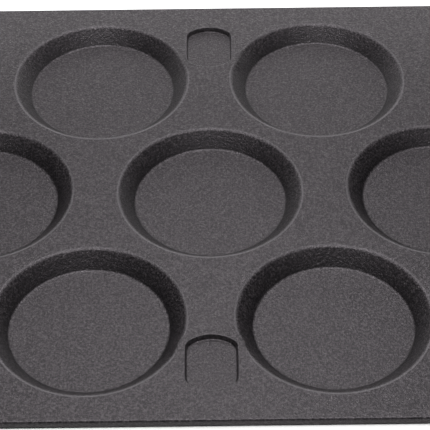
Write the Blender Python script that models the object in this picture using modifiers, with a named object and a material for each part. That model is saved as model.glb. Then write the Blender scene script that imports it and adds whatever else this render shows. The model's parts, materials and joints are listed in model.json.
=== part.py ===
"""Clamshell donut maker that bakes seven flat round cakes at once.

Run it in Blender 4.5 (blender --background --python part.py). Metres, +Z up.
The origin lies on the table under the middle of the open object, the handles point to -Y
and the hinge is at +Y. The lid stands open, leaning back on its stop.

Both halves share one layout, written in a deck frame: its origin is the middle of the
baking plate's face and -Z runs into the housing. The upper half is that layout turned over.
"""

import math

import bmesh
import bpy
from mathutils import Matrix, Vector

MM = 0.001

# Wells of the baking plate: seven in rows of two, three and two.
WELL_R = 35 * MM
WELL_PITCH = 87 * MM
ROW_PITCH = 64.3 * MM
WELL_DEPTH = 6 * MM
FLOOR_R = 28.4 * MM
LIP = 2 * MM
WELL_STEPS = 26

# The baking plate around them.
PLATE_MARGIN = 11 * MM
PLATE_T = 3 * MM
PLATE_CORNER = 8 * MM
PLATE_X = WELL_PITCH + WELL_R + PLATE_MARGIN
PLATE_Y = ROW_PITCH + WELL_R + PLATE_MARGIN
RECESS_R = 12.4 * MM
RECESS_HALF_W = 9.2 * MM
RECESS_Y = 84.7 * MM
RECESS_DEPTH = 2 * MM

# The two housings.
GAP = 0.3 * MM
WALL = 2.5 * MM
RIM_W = 15 * MM
HOUSING_X = PLATE_X + RIM_W
HOUSING_Y = PLATE_Y + RIM_W
HOUSING_CORNER = 30 * MM
SEAT = 6 * MM
FLANGE_TOP = -(PLATE_T + GAP)
FLANGE_LOW = FLANGE_TOP - WALL
OPENING_X = PLATE_X - SEAT
OPENING_Y = PLATE_Y - SEAT
OPENING_CORNER = 20 * MM
FOOT_H = 6 * MM
BASE_H = 56 * MM
DECK_Z = FOOT_H + BASE_H
DECK_GAP = 0.5 * MM
LID_H = 42 * MM
POST_X = OPENING_X - 1 * MM
POST_Y = OPENING_Y - 1 * MM
POST_R = 4 * MM

# Reflector trays, heaters and their screws, in the deck frame.
TRAY_X = OPENING_X - 3 * MM
TRAY_Y = OPENING_Y - 3 * MM
TRAY_T = 0.6 * MM
TRAY_LIP = 6 * MM
TRAY_TOP = FLANGE_LOW - GAP
TRAY_FLOOR = -26 * MM
HEATER_R = 3.25 * MM
HEATER_Z = -(WELL_DEPTH + PLATE_T + GAP + HEATER_R)
HEATER_END_Z = TRAY_FLOOR - 7 * MM
HEATER_END_X = 22 * MM
HEATER_END_Y = 82 * MM
STUD_X = 112 * MM
STUD_Y = 85 * MM
STUD_R = 4.5 * MM
SCREW_R = 1.7 * MM
SCREW_HOLE_R = SCREW_R + GAP
SCREW_HEAD_R = 3.4 * MM

# Hinge, handles and latch.
HINGE_BACK = 9 * MM
HINGE_X = 95 * MM
HINGE_EAR_R = 7 * MM
HINGE_PIN_R = 4 * MM
LEAF_HALF_W = 15 * MM
LEAF_NEAR, LEAF_FAR = 6.5 * MM, 26 * MM
EAR_IN = 7 * MM
EAR_WEB = 18 * MM
LID_OPEN = math.radians(105)
HANDLE_HALF_W = 50 * MM
HANDLE_REACH = 43 * MM
HANDLE_CORNER = 18 * MM
HANDLE_EDGE = 1.5 * MM
LATCH_HALF_W = 13 * MM
LATCH_OPEN = math.radians(20)
HANDLE_SCREW_X = 34 * MM
HANDLE_SCREW_BACK = 14 * MM

# The bottom cover and the rubber feet, set wide so that the open lid can't tip the base.
FOOT_X = 104 * MM
FOOT_Y = 100 * MM
FOOT_R = 9 * MM
FOOT_TOP_R = 10.5 * MM
VENTS = 7
VENT_PITCH = 16 * MM
VENT_HALF_W = 3 * MM
VENT_HALF_L = 18 * MM
VENT_Y = 45 * MM
COVER_INSET = 8 * MM

WELLS = (
    [(side * WELL_PITCH / 2, row * ROW_PITCH) for row in (-1, 1) for side in (-1, 1)]
    + [(side * WELL_PITCH, 0.0) for side in (-1, 0, 1)]
)
CORNERS = [(-1, -1), (1, -1), (1, 1), (-1, 1)]

# The plates' middle is in front of the origin, because the open lid reaches out behind.
PLATE_MIDDLE_Y = -38.8 * MM
LOWER = Matrix.Translation((0, PLATE_MIDDLE_Y, DECK_Z))
UPPER_SHUT = (
    Matrix.Translation((0, PLATE_MIDDLE_Y, DECK_Z + DECK_GAP)) @ Matrix.Rotation(math.pi, 4, "Y")
)
HINGE_Y = PLATE_MIDDLE_Y + HOUSING_Y + HINGE_BACK
HINGE_Z = DECK_Z + DECK_GAP / 2


# ---------------------------------------------------------------- scene and materials

for stale in list(bpy.data.objects):
    bpy.data.objects.remove(stale)

donut_maker = bpy.data.collections.new("donut_maker")
cutters = bpy.data.collections.new("cutters")
for collection in (donut_maker, cutters):
    bpy.context.scene.collection.children.link(collection)


def finish(name, color, roughness, metallic=0.0):
    """A plain Principled material."""
    material = bpy.data.materials.new(name)
    material.use_nodes = True
    shader = material.node_tree.nodes["Principled BSDF"]
    shader.inputs["Base Color"].default_value = (*color, 1.0)
    shader.inputs["Roughness"].default_value = roughness
    shader.inputs["Metallic"].default_value = metallic
    return material


WHITE = finish("white_plastic", (0.86, 0.86, 0.85), 0.35)
COATING = finish("non_stick_coating", (0.055, 0.054, 0.056), 0.45)
STEEL = finish("bright_steel", (0.62, 0.62, 0.63), 0.3, 1.0)
TRAY_METAL = finish("aluminised_steel", (0.7, 0.7, 0.7), 0.4, 1.0)
HEATER_METAL = finish("heater_sheath", (0.2, 0.19, 0.18), 0.55, 1.0)
RUBBER = finish("grey_rubber", (0.12, 0.12, 0.12), 0.8)
DARK_PLASTIC = finish("dark_plastic", (0.05, 0.05, 0.055), 0.5)
CERAMIC = finish("cream_ceramic", (0.75, 0.72, 0.62), 0.6)
RED_LENS = finish("red_lens", (0.7, 0.03, 0.02), 0.15)
GREEN_LENS = finish("green_lens", (0.03, 0.5, 0.08), 0.15)
SILICONE = finish("silicone_sleeve", (0.5, 0.12, 0.08), 0.6)


# ---------------------------------------------------------------- shape helpers


def add(name, mesh, material, matrix):
    """A sub-part, or a hidden helper when it has no material."""
    piece = bpy.data.objects.new(name, mesh)
    piece.matrix_world = matrix
    if material is None:
        cutters.objects.link(piece)
        piece.hide_render = True
        piece.display_type = "WIRE"
    else:
        donut_maker.objects.link(piece)
        mesh.materials.append(material)
    return piece


def from_bmesh(name, bm, material, matrix):
    bmesh.ops.recalc_face_normals(bm, faces=bm.faces)
    mesh = bpy.data.meshes.new(name)
    bm.to_mesh(mesh)
    bm.free()
    return add(name, mesh, material, matrix)


def rounded_outline(half_x, half_y, radius, steps):
    """Points round a rectangle with round corners, anticlockwise from the +X side."""
    points = []
    for corner, (side_x, side_y) in enumerate([(1, 1), (-1, 1), (-1, -1), (1, -1)]):
        for step in range(steps + 1):
            angle = math.pi / 2 * (corner + step / steps)
            x = side_x * (half_x - radius) + radius * math.cos(angle)
            y = side_y * (half_y - radius) + radius * math.sin(angle)
            points.append((x, y))
    return points


def rounded_block(name, levels, radius, material=None, matrix=LOWER, steps=4):
    """A block with round upright corners. levels are (half x, half y, z), low to high."""
    bm = bmesh.new()
    half_x, half_y, z = levels[0]
    ring = [bm.verts.new((x, y, z)) for x, y in rounded_outline(half_x, half_y, radius, steps)]
    cap = bm.faces.new(ring)
    for half_x, half_y, z in levels[1:]:
        grown = bmesh.ops.extrude_face_region(bm, geom=[cap])["geom"]
        bmesh.ops.delete(bm, geom=[cap], context="FACES_ONLY")
        cap = next(item for item in grown if isinstance(item, bmesh.types.BMFace))
        outline = rounded_outline(half_x, half_y, radius, steps)
        for vertex, (x, y) in zip(cap.verts, outline):
            vertex.co = (x, y, z)
    bm.faces.new(ring)
    return from_bmesh(name, bm, material, matrix)


def box(name, low, high, material=None, matrix=LOWER):
    """A box between two corners."""
    low, high = Vector(low), Vector(high)
    bm = bmesh.new()
    bmesh.ops.create_cube(bm, size=1.0)
    bmesh.ops.scale(bm, vec=high - low, verts=bm.verts)
    bmesh.ops.translate(bm, vec=(low + high) / 2, verts=bm.verts)
    return from_bmesh(name, bm, material, matrix)


def rod(name, start, end, radius, material=None, matrix=LOWER, steps=16, end_radius=None):
    """A cylinder, or a cone with end_radius, between two points."""
    start, end = Vector(start), Vector(end)
    along = end - start
    turn = Vector((0, 0, 1)).rotation_difference(along).to_matrix().to_4x4()
    bm = bmesh.new()
    bmesh.ops.create_cone(
        bm,
        cap_ends=True,
        segments=steps,
        radius1=radius,
        radius2=radius if end_radius is None else end_radius,
        depth=along.length,
        matrix=Matrix.Translation((start + end) / 2) @ turn,
    )
    return from_bmesh(name, bm, material, matrix)


def turned(name, profile, centre, steps, matrix=LOWER):
    """A hidden helper turned about Z. profile is (radius, z) down the outer side."""
    mesh = bpy.data.meshes.new(name)
    edges = [(i, i + 1) for i in range(len(profile) - 1)]
    mesh.from_pydata([(r, 0, z) for r, z in profile], edges, [])
    piece = add(name, mesh, None, matrix @ Matrix.Translation((*centre, 0)))
    screw = piece.modifiers.new("turn", "SCREW")
    screw.steps = screw.render_steps = steps
    screw.use_merge_vertices = True
    screw.merge_threshold = 0.00001
    return piece


def combine(piece, helper, operation):
    """A live Boolean of piece with another object or, for many at once, a collection."""
    boolean = piece.modifiers.new(operation.lower(), "BOOLEAN")
    boolean.operation = operation
    if isinstance(helper, bpy.types.Collection):
        boolean.operand_type = "COLLECTION"
        boolean.collection = helper
    else:
        boolean.object = helper
    return piece


def cut(piece, *helpers):
    for helper in helpers:
        combine(piece, helper, "DIFFERENCE")
    return piece


def join(piece, *helpers):
    for helper in helpers:
        combine(piece, helper, "UNION")
    return piece


def group(name, helpers):
    """Helpers moved into their own hidden collection, for one Boolean with all of them."""
    collection = bpy.data.collections.new(name)
    cutters.children.link(collection)
    for helper in helpers:
        cutters.objects.unlink(helper)
        collection.objects.link(helper)
    return collection


def tube(name, route, radius, material, matrix=LOWER):
    """A bent tube along a route of (x, y, z) points."""
    curve = bpy.data.curves.new(name, "CURVE")
    curve.dimensions = "3D"
    curve.bevel_depth = radius
    curve.bevel_resolution = 1
    curve.use_fill_caps = True
    spline = curve.splines.new("POLY")
    spline.points.add(len(route) - 1)
    for point, place in zip(spline.points, route):
        point.co = (*place, 1.0)
    piece = bpy.data.objects.new(name, curve)
    piece.matrix_world = matrix
    donut_maker.objects.link(piece)
    curve.materials.append(material)
    return piece


def smooth_route(guides, per_span):
    """Points on a Catmull-Rom curve through the guide points."""
    guides = [Vector(guide) for guide in guides]
    padded = [2 * guides[0] - guides[1], *guides, 2 * guides[-1] - guides[-2]]
    route = []
    for a, b, c, d in zip(padded, padded[1:], padded[2:], padded[3:]):
        for step in range(per_span):
            t = step / per_span
            route.append(
                (2 * b + (c - a) * t + (2 * a - 5 * b + 4 * c - d) * t**2
                 + (3 * b - a - 3 * c + d) * t**3) / 2
            )
    return [*route, guides[-1]]


def screw(name, foot, tip, matrix, head_t=1.6 * MM):
    """A screw with a round head at foot and its shank running to tip."""
    foot, tip = Vector(foot), Vector(tip)
    under_head = foot + (tip - foot).normalized() * head_t
    head = rod(name, foot, under_head, SCREW_HEAD_R, STEEL, matrix, steps=14)
    shank = rod(name + "_shank", foot + (under_head - foot) / 2, tip, SCREW_R, None, matrix, 8)
    return join(head, shank)


# ---------------------------------------------------------------- pieces of both halves


def baking_plate(prefix, matrix):
    """Cast plate with seven wells, two sensor recesses and four studs on its back."""
    levels = [(PLATE_X, PLATE_Y, -PLATE_T), (PLATE_X, PLATE_Y, 0)]
    plate = rounded_block(f"{prefix}_baking_plate", levels, PLATE_CORNER, COATING, matrix, 3)
    under = -(WELL_DEPTH + PLATE_T)
    backs = [
        rod(f"{prefix}_well_back_{i}", (x, y, under), (x, y, -PLATE_T / 2), FLOOR_R + LIP,
            None, matrix, WELL_STEPS, WELL_R + LIP)
        for i, (x, y) in enumerate(WELLS)
    ]
    backs += [
        rod(f"{prefix}_recess_back_{side}", (0, side * RECESS_Y, -PLATE_T - RECESS_DEPTH),
            (0, side * RECESS_Y, -PLATE_T / 2), RECESS_R - 0.5 * MM, None, matrix, 20)
        for side in (-1, 1)
    ]
    backs += [
        rod(f"{prefix}_stud_{i}", (x * STUD_X, y * STUD_Y, TRAY_FLOOR + GAP),
            (x * STUD_X, y * STUD_Y, -PLATE_T / 2), STUD_R, None, matrix, 14)
        for i, (x, y) in enumerate(CORNERS)
    ]
    profile = [
        (0, MM), (WELL_R + LIP, MM), (WELL_R + LIP, 0.1 * MM), (WELL_R, -0.6 * MM),
        (WELL_R - 1.4 * MM, -1.8 * MM), (FLOOR_R + MM, 0.8 * MM - WELL_DEPTH),
        (FLOOR_R - 0.6 * MM, -WELL_DEPTH), (0, -WELL_DEPTH),
    ]
    hollows = [
        turned(f"{prefix}_well_{i}", profile, well, WELL_STEPS, matrix)
        for i, well in enumerate(WELLS)
    ]
    for side in (-1, 1):
        recess = rod(f"{prefix}_recess_{side}", (0, side * RECESS_Y, -RECESS_DEPTH),
                     (0, side * RECESS_Y, MM), RECESS_R, None, matrix, 24)
        width = box(f"{prefix}_recess_width_{side}",
                    (-RECESS_HALF_W, side * RECESS_Y - WELL_R, -WELL_DEPTH),
                    (RECESS_HALF_W, side * RECESS_Y + WELL_R, WELL_DEPTH), None, matrix)
        combine(recess, width, "INTERSECT")
        hollows.append(recess)
    hollows += [
        rod(f"{prefix}_stud_hole_{i}", (x * STUD_X, y * STUD_Y, TRAY_FLOOR - MM),
            (x * STUD_X, y * STUD_Y, TRAY_FLOOR + 14 * MM), SCREW_HOLE_R, None, matrix, 8)
        for i, (x, y) in enumerate(CORNERS)
    ]
    join(plate, group(f"{prefix}_plate_backs", backs))
    return cut(plate, group(f"{prefix}_plate_hollows", hollows))


def reflector(prefix, matrix):
    """Pressed tray behind the plate. Its lip bears on the back of the housing's flange."""
    lip_x, lip_y = TRAY_X + TRAY_LIP, TRAY_Y + TRAY_LIP
    corner = OPENING_CORNER + 8 * MM
    tray = rounded_block(
        f"{prefix}_reflector",
        [(TRAY_X, TRAY_Y, TRAY_FLOOR - TRAY_T), (TRAY_X, TRAY_Y, TRAY_TOP - TRAY_T),
         (lip_x, lip_y, TRAY_TOP - TRAY_T), (lip_x, lip_y, TRAY_TOP)],
        corner, TRAY_METAL, matrix, 4,
    )
    hollow = rounded_block(
        f"{prefix}_tray_hollow",
        [(TRAY_X - TRAY_T, TRAY_Y - TRAY_T, TRAY_FLOOR), (TRAY_X - TRAY_T, TRAY_Y - TRAY_T, 0)],
        corner - TRAY_T, None, matrix, 4,
    )
    holes = [
        rod(f"{prefix}_tray_hole_{i}", (x * STUD_X, y * STUD_Y, TRAY_FLOOR - 2 * MM),
            (x * STUD_X, y * STUD_Y, TRAY_FLOOR + MM), SCREW_HOLE_R, None, matrix, 8)
        for i, (x, y) in enumerate(CORNERS)
    ]
    holes += [
        rod(f"{prefix}_terminal_hole_{side}", (side * HEATER_END_X, HEATER_END_Y, TRAY_FLOOR - 2 * MM),
            (side * HEATER_END_X, HEATER_END_Y, TRAY_FLOOR + MM), HEATER_R + MM, None, matrix, 12)
        for side in (-1, 1)
    ]
    return cut(tray, hollow, group(f"{prefix}_tray_holes", holes))


def heater(prefix, matrix):
    """Tubular element: an M that passes under every well, its two ends turned down."""
    level = [(34, 74), (62, 66), (88, 44), (97, 0), (86, -46), (52, -72), (20, -54), (0, -16)]
    half = [
        (HEATER_END_X, HEATER_END_Y, HEATER_END_Z),
        (HEATER_END_X, HEATER_END_Y, HEATER_Z - 7 * MM),
        (HEATER_END_X + 3 * MM, HEATER_END_Y - 3 * MM, HEATER_Z - 1.5 * MM),
    ]
    half += [(x * MM, y * MM, HEATER_Z) for x, y in level]
    other = [(-x, y, z) for x, y, z in half[-2::-1]]
    return tube(f"{prefix}_heater", smooth_route(half + other, 2), HEATER_R, HEATER_METAL, matrix)


def plate_screws(prefix, matrix):
    """Four screws that pull the plate and the reflector together over the flange."""
    foot_z = TRAY_FLOOR - TRAY_T - GAP - 1.6 * MM
    return [
        screw(f"{prefix}_plate_screw_{i + 1}", (x * STUD_X, y * STUD_Y, foot_z),
              (x * STUD_X, y * STUD_Y, TRAY_FLOOR + 13 * MM), matrix)
        for i, (x, y) in enumerate(CORNERS)
    ]


def sensor_bracket(name, side, low_z, matrix):
    """Bridge strip on the tray floor that presses a sensor against the recess's back."""
    y = side * RECESS_Y
    half_w, half_y, strip = 14 * MM, 5 * MM, 1 * MM
    bridge = box(name, (-half_w, y - half_y, TRAY_FLOOR + GAP), (half_w, y + half_y, low_z - GAP),
                 STEEL, matrix)
    inside = box(name + "_inside", (strip - half_w, y - 2 * half_y, TRAY_FLOOR - MM),
                 (half_w - strip, y + 2 * half_y, low_z - GAP - strip), None, matrix)
    return cut(bridge, inside)


# ---------------------------------------------------------------- base


def rear_hole(name, x, z, radius, matrix):
    return rod(name, (x, HOUSING_Y - 12 * MM, z), (x, HOUSING_Y + 12 * MM, z), radius, None, matrix)


def posts(prefix, low_z, high_z, matrix):
    """Screw posts at the four corners, with their holes."""
    bodies, holes = [], []
    for i, (x, y) in enumerate(CORNERS):
        foot = (x * POST_X, y * POST_Y, low_z)
        top = (x * POST_X, y * POST_Y, high_z)
        bodies.append(rod(f"{prefix}_post_{i}", foot, top, POST_R, None, matrix, 12))
        hole_top = (x * POST_X, y * POST_Y, low_z + 13 * MM)
        hole_foot = (x * POST_X, y * POST_Y, low_z - 4 * MM)
        holes.append(rod(f"{prefix}_post_hole_{i}", hole_foot, hole_top, SCREW_HOLE_R, None,
                         matrix, 8))
    return bodies, holes


INLET_Z = -30 * MM
INLET_R = 7 * MM
COVER_LOW = -BASE_H + GAP
COVER_TOP = COVER_LOW + WALL


def base_housing():
    """White tub: outer walls, the flange that carries the plate, and four screw posts."""
    shell = rounded_block(
        "base_housing",
        [(HOUSING_X - COVER_INSET, HOUSING_Y - COVER_INSET, -BASE_H),
         (HOUSING_X - 3 * MM, HOUSING_Y - 3 * MM, -BASE_H + 5 * MM),
         (HOUSING_X, HOUSING_Y, -BASE_H + 14 * MM),
         (HOUSING_X, HOUSING_Y, FLANGE_TOP - 1.5 * MM),
         (HOUSING_X - 0.5 * MM, HOUSING_Y - 0.5 * MM, FLANGE_TOP - 0.4 * MM),
         (HOUSING_X - 1.5 * MM, HOUSING_Y - 1.5 * MM, FLANGE_TOP)],
        HOUSING_CORNER, WHITE, LOWER,
    )
    inside = rounded_block(
        "base_inside",
        [(HOUSING_X - COVER_INSET - WALL, HOUSING_Y - COVER_INSET - WALL, -BASE_H - MM),
         (HOUSING_X - COVER_INSET - WALL, HOUSING_Y - COVER_INSET - WALL, -BASE_H + 2 * MM),
         (HOUSING_X - WALL, HOUSING_Y - WALL, -BASE_H + 15 * MM),
         (HOUSING_X - WALL, HOUSING_Y - WALL, FLANGE_LOW)],
        HOUSING_CORNER - WALL,
    )
    opening = rounded_block(
        "base_opening",
        [(OPENING_X, OPENING_Y, FLANGE_LOW - MM), (OPENING_X, OPENING_Y, FLANGE_TOP + MM)],
        OPENING_CORNER,
    )
    bodies, holes = posts("base", COVER_TOP + GAP, FLANGE_LOW + MM, LOWER)
    cut(shell, inside, opening, rear_hole("inlet_hole", 0, INLET_Z, INLET_R + GAP, LOWER))
    join(shell, group("base_posts", bodies))
    return cut(shell, group("base_post_holes", holes))


def base_cover():
    """Bottom cover with vent slots and counterbored screw holes."""
    half_x = HOUSING_X - COVER_INSET - WALL - GAP
    half_y = HOUSING_Y - COVER_INSET - WALL - GAP
    cover = rounded_block(
        "base_bottom_cover", [(half_x, half_y, COVER_LOW), (half_x, half_y, COVER_TOP)],
        HOUSING_CORNER - WALL - GAP, WHITE, LOWER,
    )
    openings = [
        box(f"vent_{side}_{i}",
            (i * VENT_PITCH - VENT_HALF_W, side * VENT_Y - VENT_HALF_L, COVER_LOW - MM),
            (i * VENT_PITCH + VENT_HALF_W, side * VENT_Y + VENT_HALF_L, COVER_TOP + MM))
        for side in (-1, 1)
        for i in range(-(VENTS // 2), VENTS // 2 + 1)
    ]
    for i, (x, y) in enumerate(CORNERS):
        foot = (x * POST_X, y * POST_Y, COVER_LOW - MM)
        ledge = (x * POST_X, y * POST_Y, COVER_LOW + 1.6 * MM)
        through = (x * POST_X, y * POST_Y, COVER_TOP + MM)
        openings.append(rod(f"cover_bore_{i}", foot, ledge, SCREW_HEAD_R + GAP, steps=12))
        openings.append(rod(f"cover_hole_{i}", foot, through, SCREW_HOLE_R, steps=8))
    return cut(cover, group("cover_openings", openings))


def feet():
    names = ["front_left", "front_right", "rear_right", "rear_left"]
    for name, (x, y) in zip(names, CORNERS):
        rod(f"foot_{name}", (x * FOOT_X, y * FOOT_Y, -DECK_Z),
            (x * FOOT_X, y * FOOT_Y, COVER_LOW - GAP), FOOT_R, RUBBER, LOWER, 20, FOOT_TOP_R)


def cover_screws():
    for i, (x, y) in enumerate(CORNERS):
        foot = (x * POST_X, y * POST_Y, COVER_LOW)
        tip = (x * POST_X, y * POST_Y, COVER_TOP + 10 * MM)
        screw(f"cover_screw_{i + 1}", foot, tip, LOWER, 1.3 * MM)


def cord_inlet():
    """Flanged bush in the rear wall, where the mains lead enters."""
    bush = rod("cord_inlet_bush", (0, HOUSING_Y - 7 * MM, INLET_Z),
               (0, HOUSING_Y + 3 * MM, INLET_Z), INLET_R, DARK_PLASTIC)
    flange = rod("bush_flange", (0, HOUSING_Y + GAP, INLET_Z), (0, HOUSING_Y + 3 * MM, INLET_Z),
                 INLET_R + 3 * MM, steps=20)
    bore = rod("bush_bore", (0, HOUSING_Y - 12 * MM, INLET_Z), (0, HOUSING_Y + 8 * MM, INLET_Z),
               3.8 * MM, steps=16)
    return cut(join(bush, flange), bore)


def thermostat():
    """Disc thermostat pressed against the back of the rear recess."""
    top_z = -(PLATE_T + RECESS_DEPTH + GAP)
    body = rod("thermostat", (0, RECESS_Y, top_z - 4 * MM), (0, RECESS_Y, top_z), 8 * MM, CERAMIC)
    neck = rod("thermostat_neck", (0, RECESS_Y, top_z - 9 * MM), (0, RECESS_Y, top_z - 2 * MM),
               6.5 * MM)
    join(body, neck)
    sensor_bracket("thermostat_bracket", 1, top_z - 9 * MM, LOWER)


def base_wiring():
    """Terminal block on the cover, and one sleeved lead from it to the heater's end."""
    low_z = COVER_TOP + GAP
    box("terminal_block", (-18 * MM, 94 * MM, low_z), (18 * MM, 106 * MM, low_z + 12 * MM),
        CERAMIC)
    route = [(-22, 82, -33.5), (-22, 82, -38), (-21, 84, -44), (-17, 88, -47), (-14, 91, -47),
             (-14, 93.7, -47)]
    route = [Vector((x, y, z)) * MM for x, y, z in route]
    tube("base_lead", smooth_route(route, 2), 1.4 * MM, SILICONE)


def hinge_half(name, side, toward_base, material):
    """One leaf: a plate screwed to a rear wall, and the ears that reach the hinge axis."""
    matrix = Matrix.Translation((side * HINGE_X, HINGE_Y, HINGE_Z))
    near, far = GAP - HINGE_BACK, 2.8 * MM - HINGE_BACK
    up = -1 if toward_base else 1
    if toward_base:
        spans = [(-LEAF_HALF_W, -EAR_IN), (EAR_IN, LEAF_HALF_W)]
    else:
        spans = [(GAP - EAR_IN, EAR_IN - GAP)]
    plate_z = sorted([up * LEAF_NEAR, up * LEAF_FAR])
    leaf = box(name, (-LEAF_HALF_W, near, plate_z[0]), (LEAF_HALF_W, far, plate_z[1]), material,
               matrix)
    web_z = sorted([0.0, up * EAR_WEB])
    for i, (low_x, high_x) in enumerate(spans):
        web = box(f"{name}_web_{i}", (low_x, far - MM, web_z[0]), (high_x, 3 * MM, web_z[1]),
                  None, matrix)
        knuckle = rod(f"{name}_knuckle_{i}", (low_x, 0, 0), (high_x, 0, 0), HINGE_EAR_R, None,
                      matrix, 20)
        join(leaf, web, knuckle)
    relief_z = sorted([up * -HINGE_EAR_R, up * 6.2 * MM])
    bore = rod(f"{name}_bore", (-20 * MM, 0, 0), (20 * MM, 0, 0), HINGE_PIN_R + GAP, None,
               matrix, 16)
    relief = box(f"{name}_relief", (-20 * MM, near - 5 * MM, relief_z[0]),
                 (20 * MM, -HINGE_EAR_R - 0.2 * MM, relief_z[1]), None, matrix)
    return cut(leaf, bore, relief)


def hinges():
    """Leaves of both hinges and the pins. The lid's leaves are returned."""
    lid_leaves = []
    for word, side in (("left", -1), ("right", 1)):
        hinge_half(f"base_hinge_{word}", side, True, STEEL)
        lid_leaves.append(hinge_half(f"lid_hinge_{word}", side, False, STEEL))
        place = Matrix.Translation((side * HINGE_X, HINGE_Y, HINGE_Z))
        rod(f"hinge_pin_{word}", (-LEAF_HALF_W - MM, 0, 0), (LEAF_HALF_W + MM, 0, 0), HINGE_PIN_R,
            STEEL, place)
    return lid_leaves


BASE_HANDLE_LOW, BASE_HANDLE_TOP = -24 * MM, -6 * MM
BASE_HANDLE_REACH = 35 * MM
HANDLE_ROOT = HOUSING_Y + GAP


def paddle(name, reach, low_z, high_z, half_w, material, matrix):
    """A handle blade that stands out from a front wall, with round outer corners."""
    blade = rounded_block(
        name,
        [(half_w - HANDLE_EDGE, reach - HANDLE_EDGE, low_z),
         (half_w, reach, low_z + HANDLE_EDGE), (half_w, reach, high_z - HANDLE_EDGE),
         (half_w - HANDLE_EDGE, reach - HANDLE_EDGE, high_z)],
        HANDLE_CORNER, material, matrix @ Matrix.Translation((0, -HANDLE_ROOT, 0)),
    )
    root = box(f"{name}_root", (-HOUSING_X, -HANDLE_ROOT, low_z - MM), (HOUSING_X, 0, high_z + MM),
               None, matrix)
    return cut(blade, root)


def base_handle():
    """Lower handle. The latch hooks under its front edge."""
    return paddle("base_handle", BASE_HANDLE_REACH, BASE_HANDLE_LOW, BASE_HANDLE_TOP,
                  HANDLE_HALF_W, WHITE, LOWER)


# ---------------------------------------------------------------- lid, built shut


LID_FLANGE_LOW = DECK_GAP - FLANGE_TOP
LID_FLANGE_TOP = DECK_GAP - FLANGE_LOW
LID_LOW = LID_FLANGE_TOP + GAP
LID_TOP = LID_FLANGE_LOW + LID_H
LAMP_Y = -78 * MM
LAMP_X = 13 * MM
LENS_R = 4.5 * MM


def lid_frame():
    """Ring that the upper plate bears on. It closes the lid's open side."""
    ring = rounded_block(
        "lid_frame",
        [(HOUSING_X - 1.5 * MM, HOUSING_Y - 1.5 * MM, LID_FLANGE_LOW),
         (HOUSING_X - 0.5 * MM, HOUSING_Y - 0.5 * MM, LID_FLANGE_LOW + 0.4 * MM),
         (HOUSING_X, HOUSING_Y, LID_FLANGE_LOW + 1.5 * MM),
         (HOUSING_X, HOUSING_Y, LID_FLANGE_TOP)],
        HOUSING_CORNER, WHITE, LOWER,
    )
    holes = [
        rounded_block("frame_opening", [(OPENING_X, OPENING_Y, LID_FLANGE_LOW - MM),
                                        (OPENING_X, OPENING_Y, LID_FLANGE_TOP + MM)],
                      OPENING_CORNER)
    ]
    for i, (x, y) in enumerate(CORNERS):
        foot = (x * POST_X, y * POST_Y, LID_FLANGE_LOW - MM)
        ledge = (x * POST_X, y * POST_Y, LID_FLANGE_LOW + 1.5 * MM)
        through = (x * POST_X, y * POST_Y, LID_FLANGE_TOP + MM)
        holes.append(rod(f"frame_bore_{i}", foot, ledge, SCREW_HEAD_R + GAP, steps=12))
        holes.append(rod(f"frame_hole_{i}", foot, through, SCREW_HOLE_R, steps=8))
        screw(f"lid_frame_screw_{i + 1}", (foot[0], foot[1], LID_FLANGE_LOW),
              (foot[0], foot[1], LID_LOW + 10 * MM), LOWER, 1.2 * MM)
    return cut(ring, group("frame_holes", holes))


def lid_cover():
    """Domed outer shell of the lid, with screw posts and two lamp holes."""
    shoulder = [(0, 22), (1.2, 28), (5, 33.6), (13, 38), (28, 40.6), (60, 42)]
    outer = [(HOUSING_X, HOUSING_Y, LID_LOW)]
    inner = [(HOUSING_X - WALL, HOUSING_Y - WALL, LID_LOW - MM)]
    for inset, height in shoulder:
        half_x, half_y = HOUSING_X - inset * MM, HOUSING_Y - inset * MM
        outer.append((half_x, half_y, LID_FLANGE_LOW + height * MM))
        inner.append((half_x - WALL, half_y - WALL, LID_FLANGE_LOW + height * MM - WALL))
    dome = rounded_block("lid_cover", outer, HOUSING_CORNER, WHITE)
    inside = rounded_block("lid_inside", inner, HOUSING_CORNER - WALL)
    bodies, holes = posts("lid", LID_LOW, LID_FLANGE_LOW + 36.3 * MM, LOWER)
    lamp_holes = [
        rod(f"lamp_hole_{side}", (side * LAMP_X, LAMP_Y, LID_TOP - 12 * MM),
            (side * LAMP_X, LAMP_Y, LID_TOP + MM), LENS_R + GAP, steps=16)
        for side in (-1, 1)
    ]
    cut(dome, inside)
    join(dome, group("lid_posts", bodies))
    return cut(dome, group("lid_holes", holes + lamp_holes))


def lamps():
    """Two lenses in the lid's top and the holder of the lamps below them."""
    for name, side, lens in (("power", -1, RED_LENS), ("ready", 1, GREEN_LENS)):
        rod(f"{name}_light_lens", (side * LAMP_X, LAMP_Y, LID_TOP - 7.5 * MM),
            (side * LAMP_X, LAMP_Y, LID_TOP + 0.8 * MM), LENS_R, lens)
    box("lamp_holder", (-2 * LAMP_X, LAMP_Y - 7 * MM, LID_TOP - 13.5 * MM),
        (2 * LAMP_X, LAMP_Y + 7 * MM, LID_TOP - 7.8 * MM), DARK_PLASTIC)


LID_HANDLE_LOW = LID_FLANGE_LOW + 3.2 * MM
LID_HANDLE_MID = LID_HANDLE_LOW + 8 * MM
LID_HANDLE_TOP = LID_HANDLE_MID + 9 * MM
PIVOT_Y = -(HOUSING_Y + HANDLE_REACH - 5 * MM)
PIVOT_Z = LID_HANDLE_MID
LATCH_PIN_R = 1.6 * MM


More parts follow.
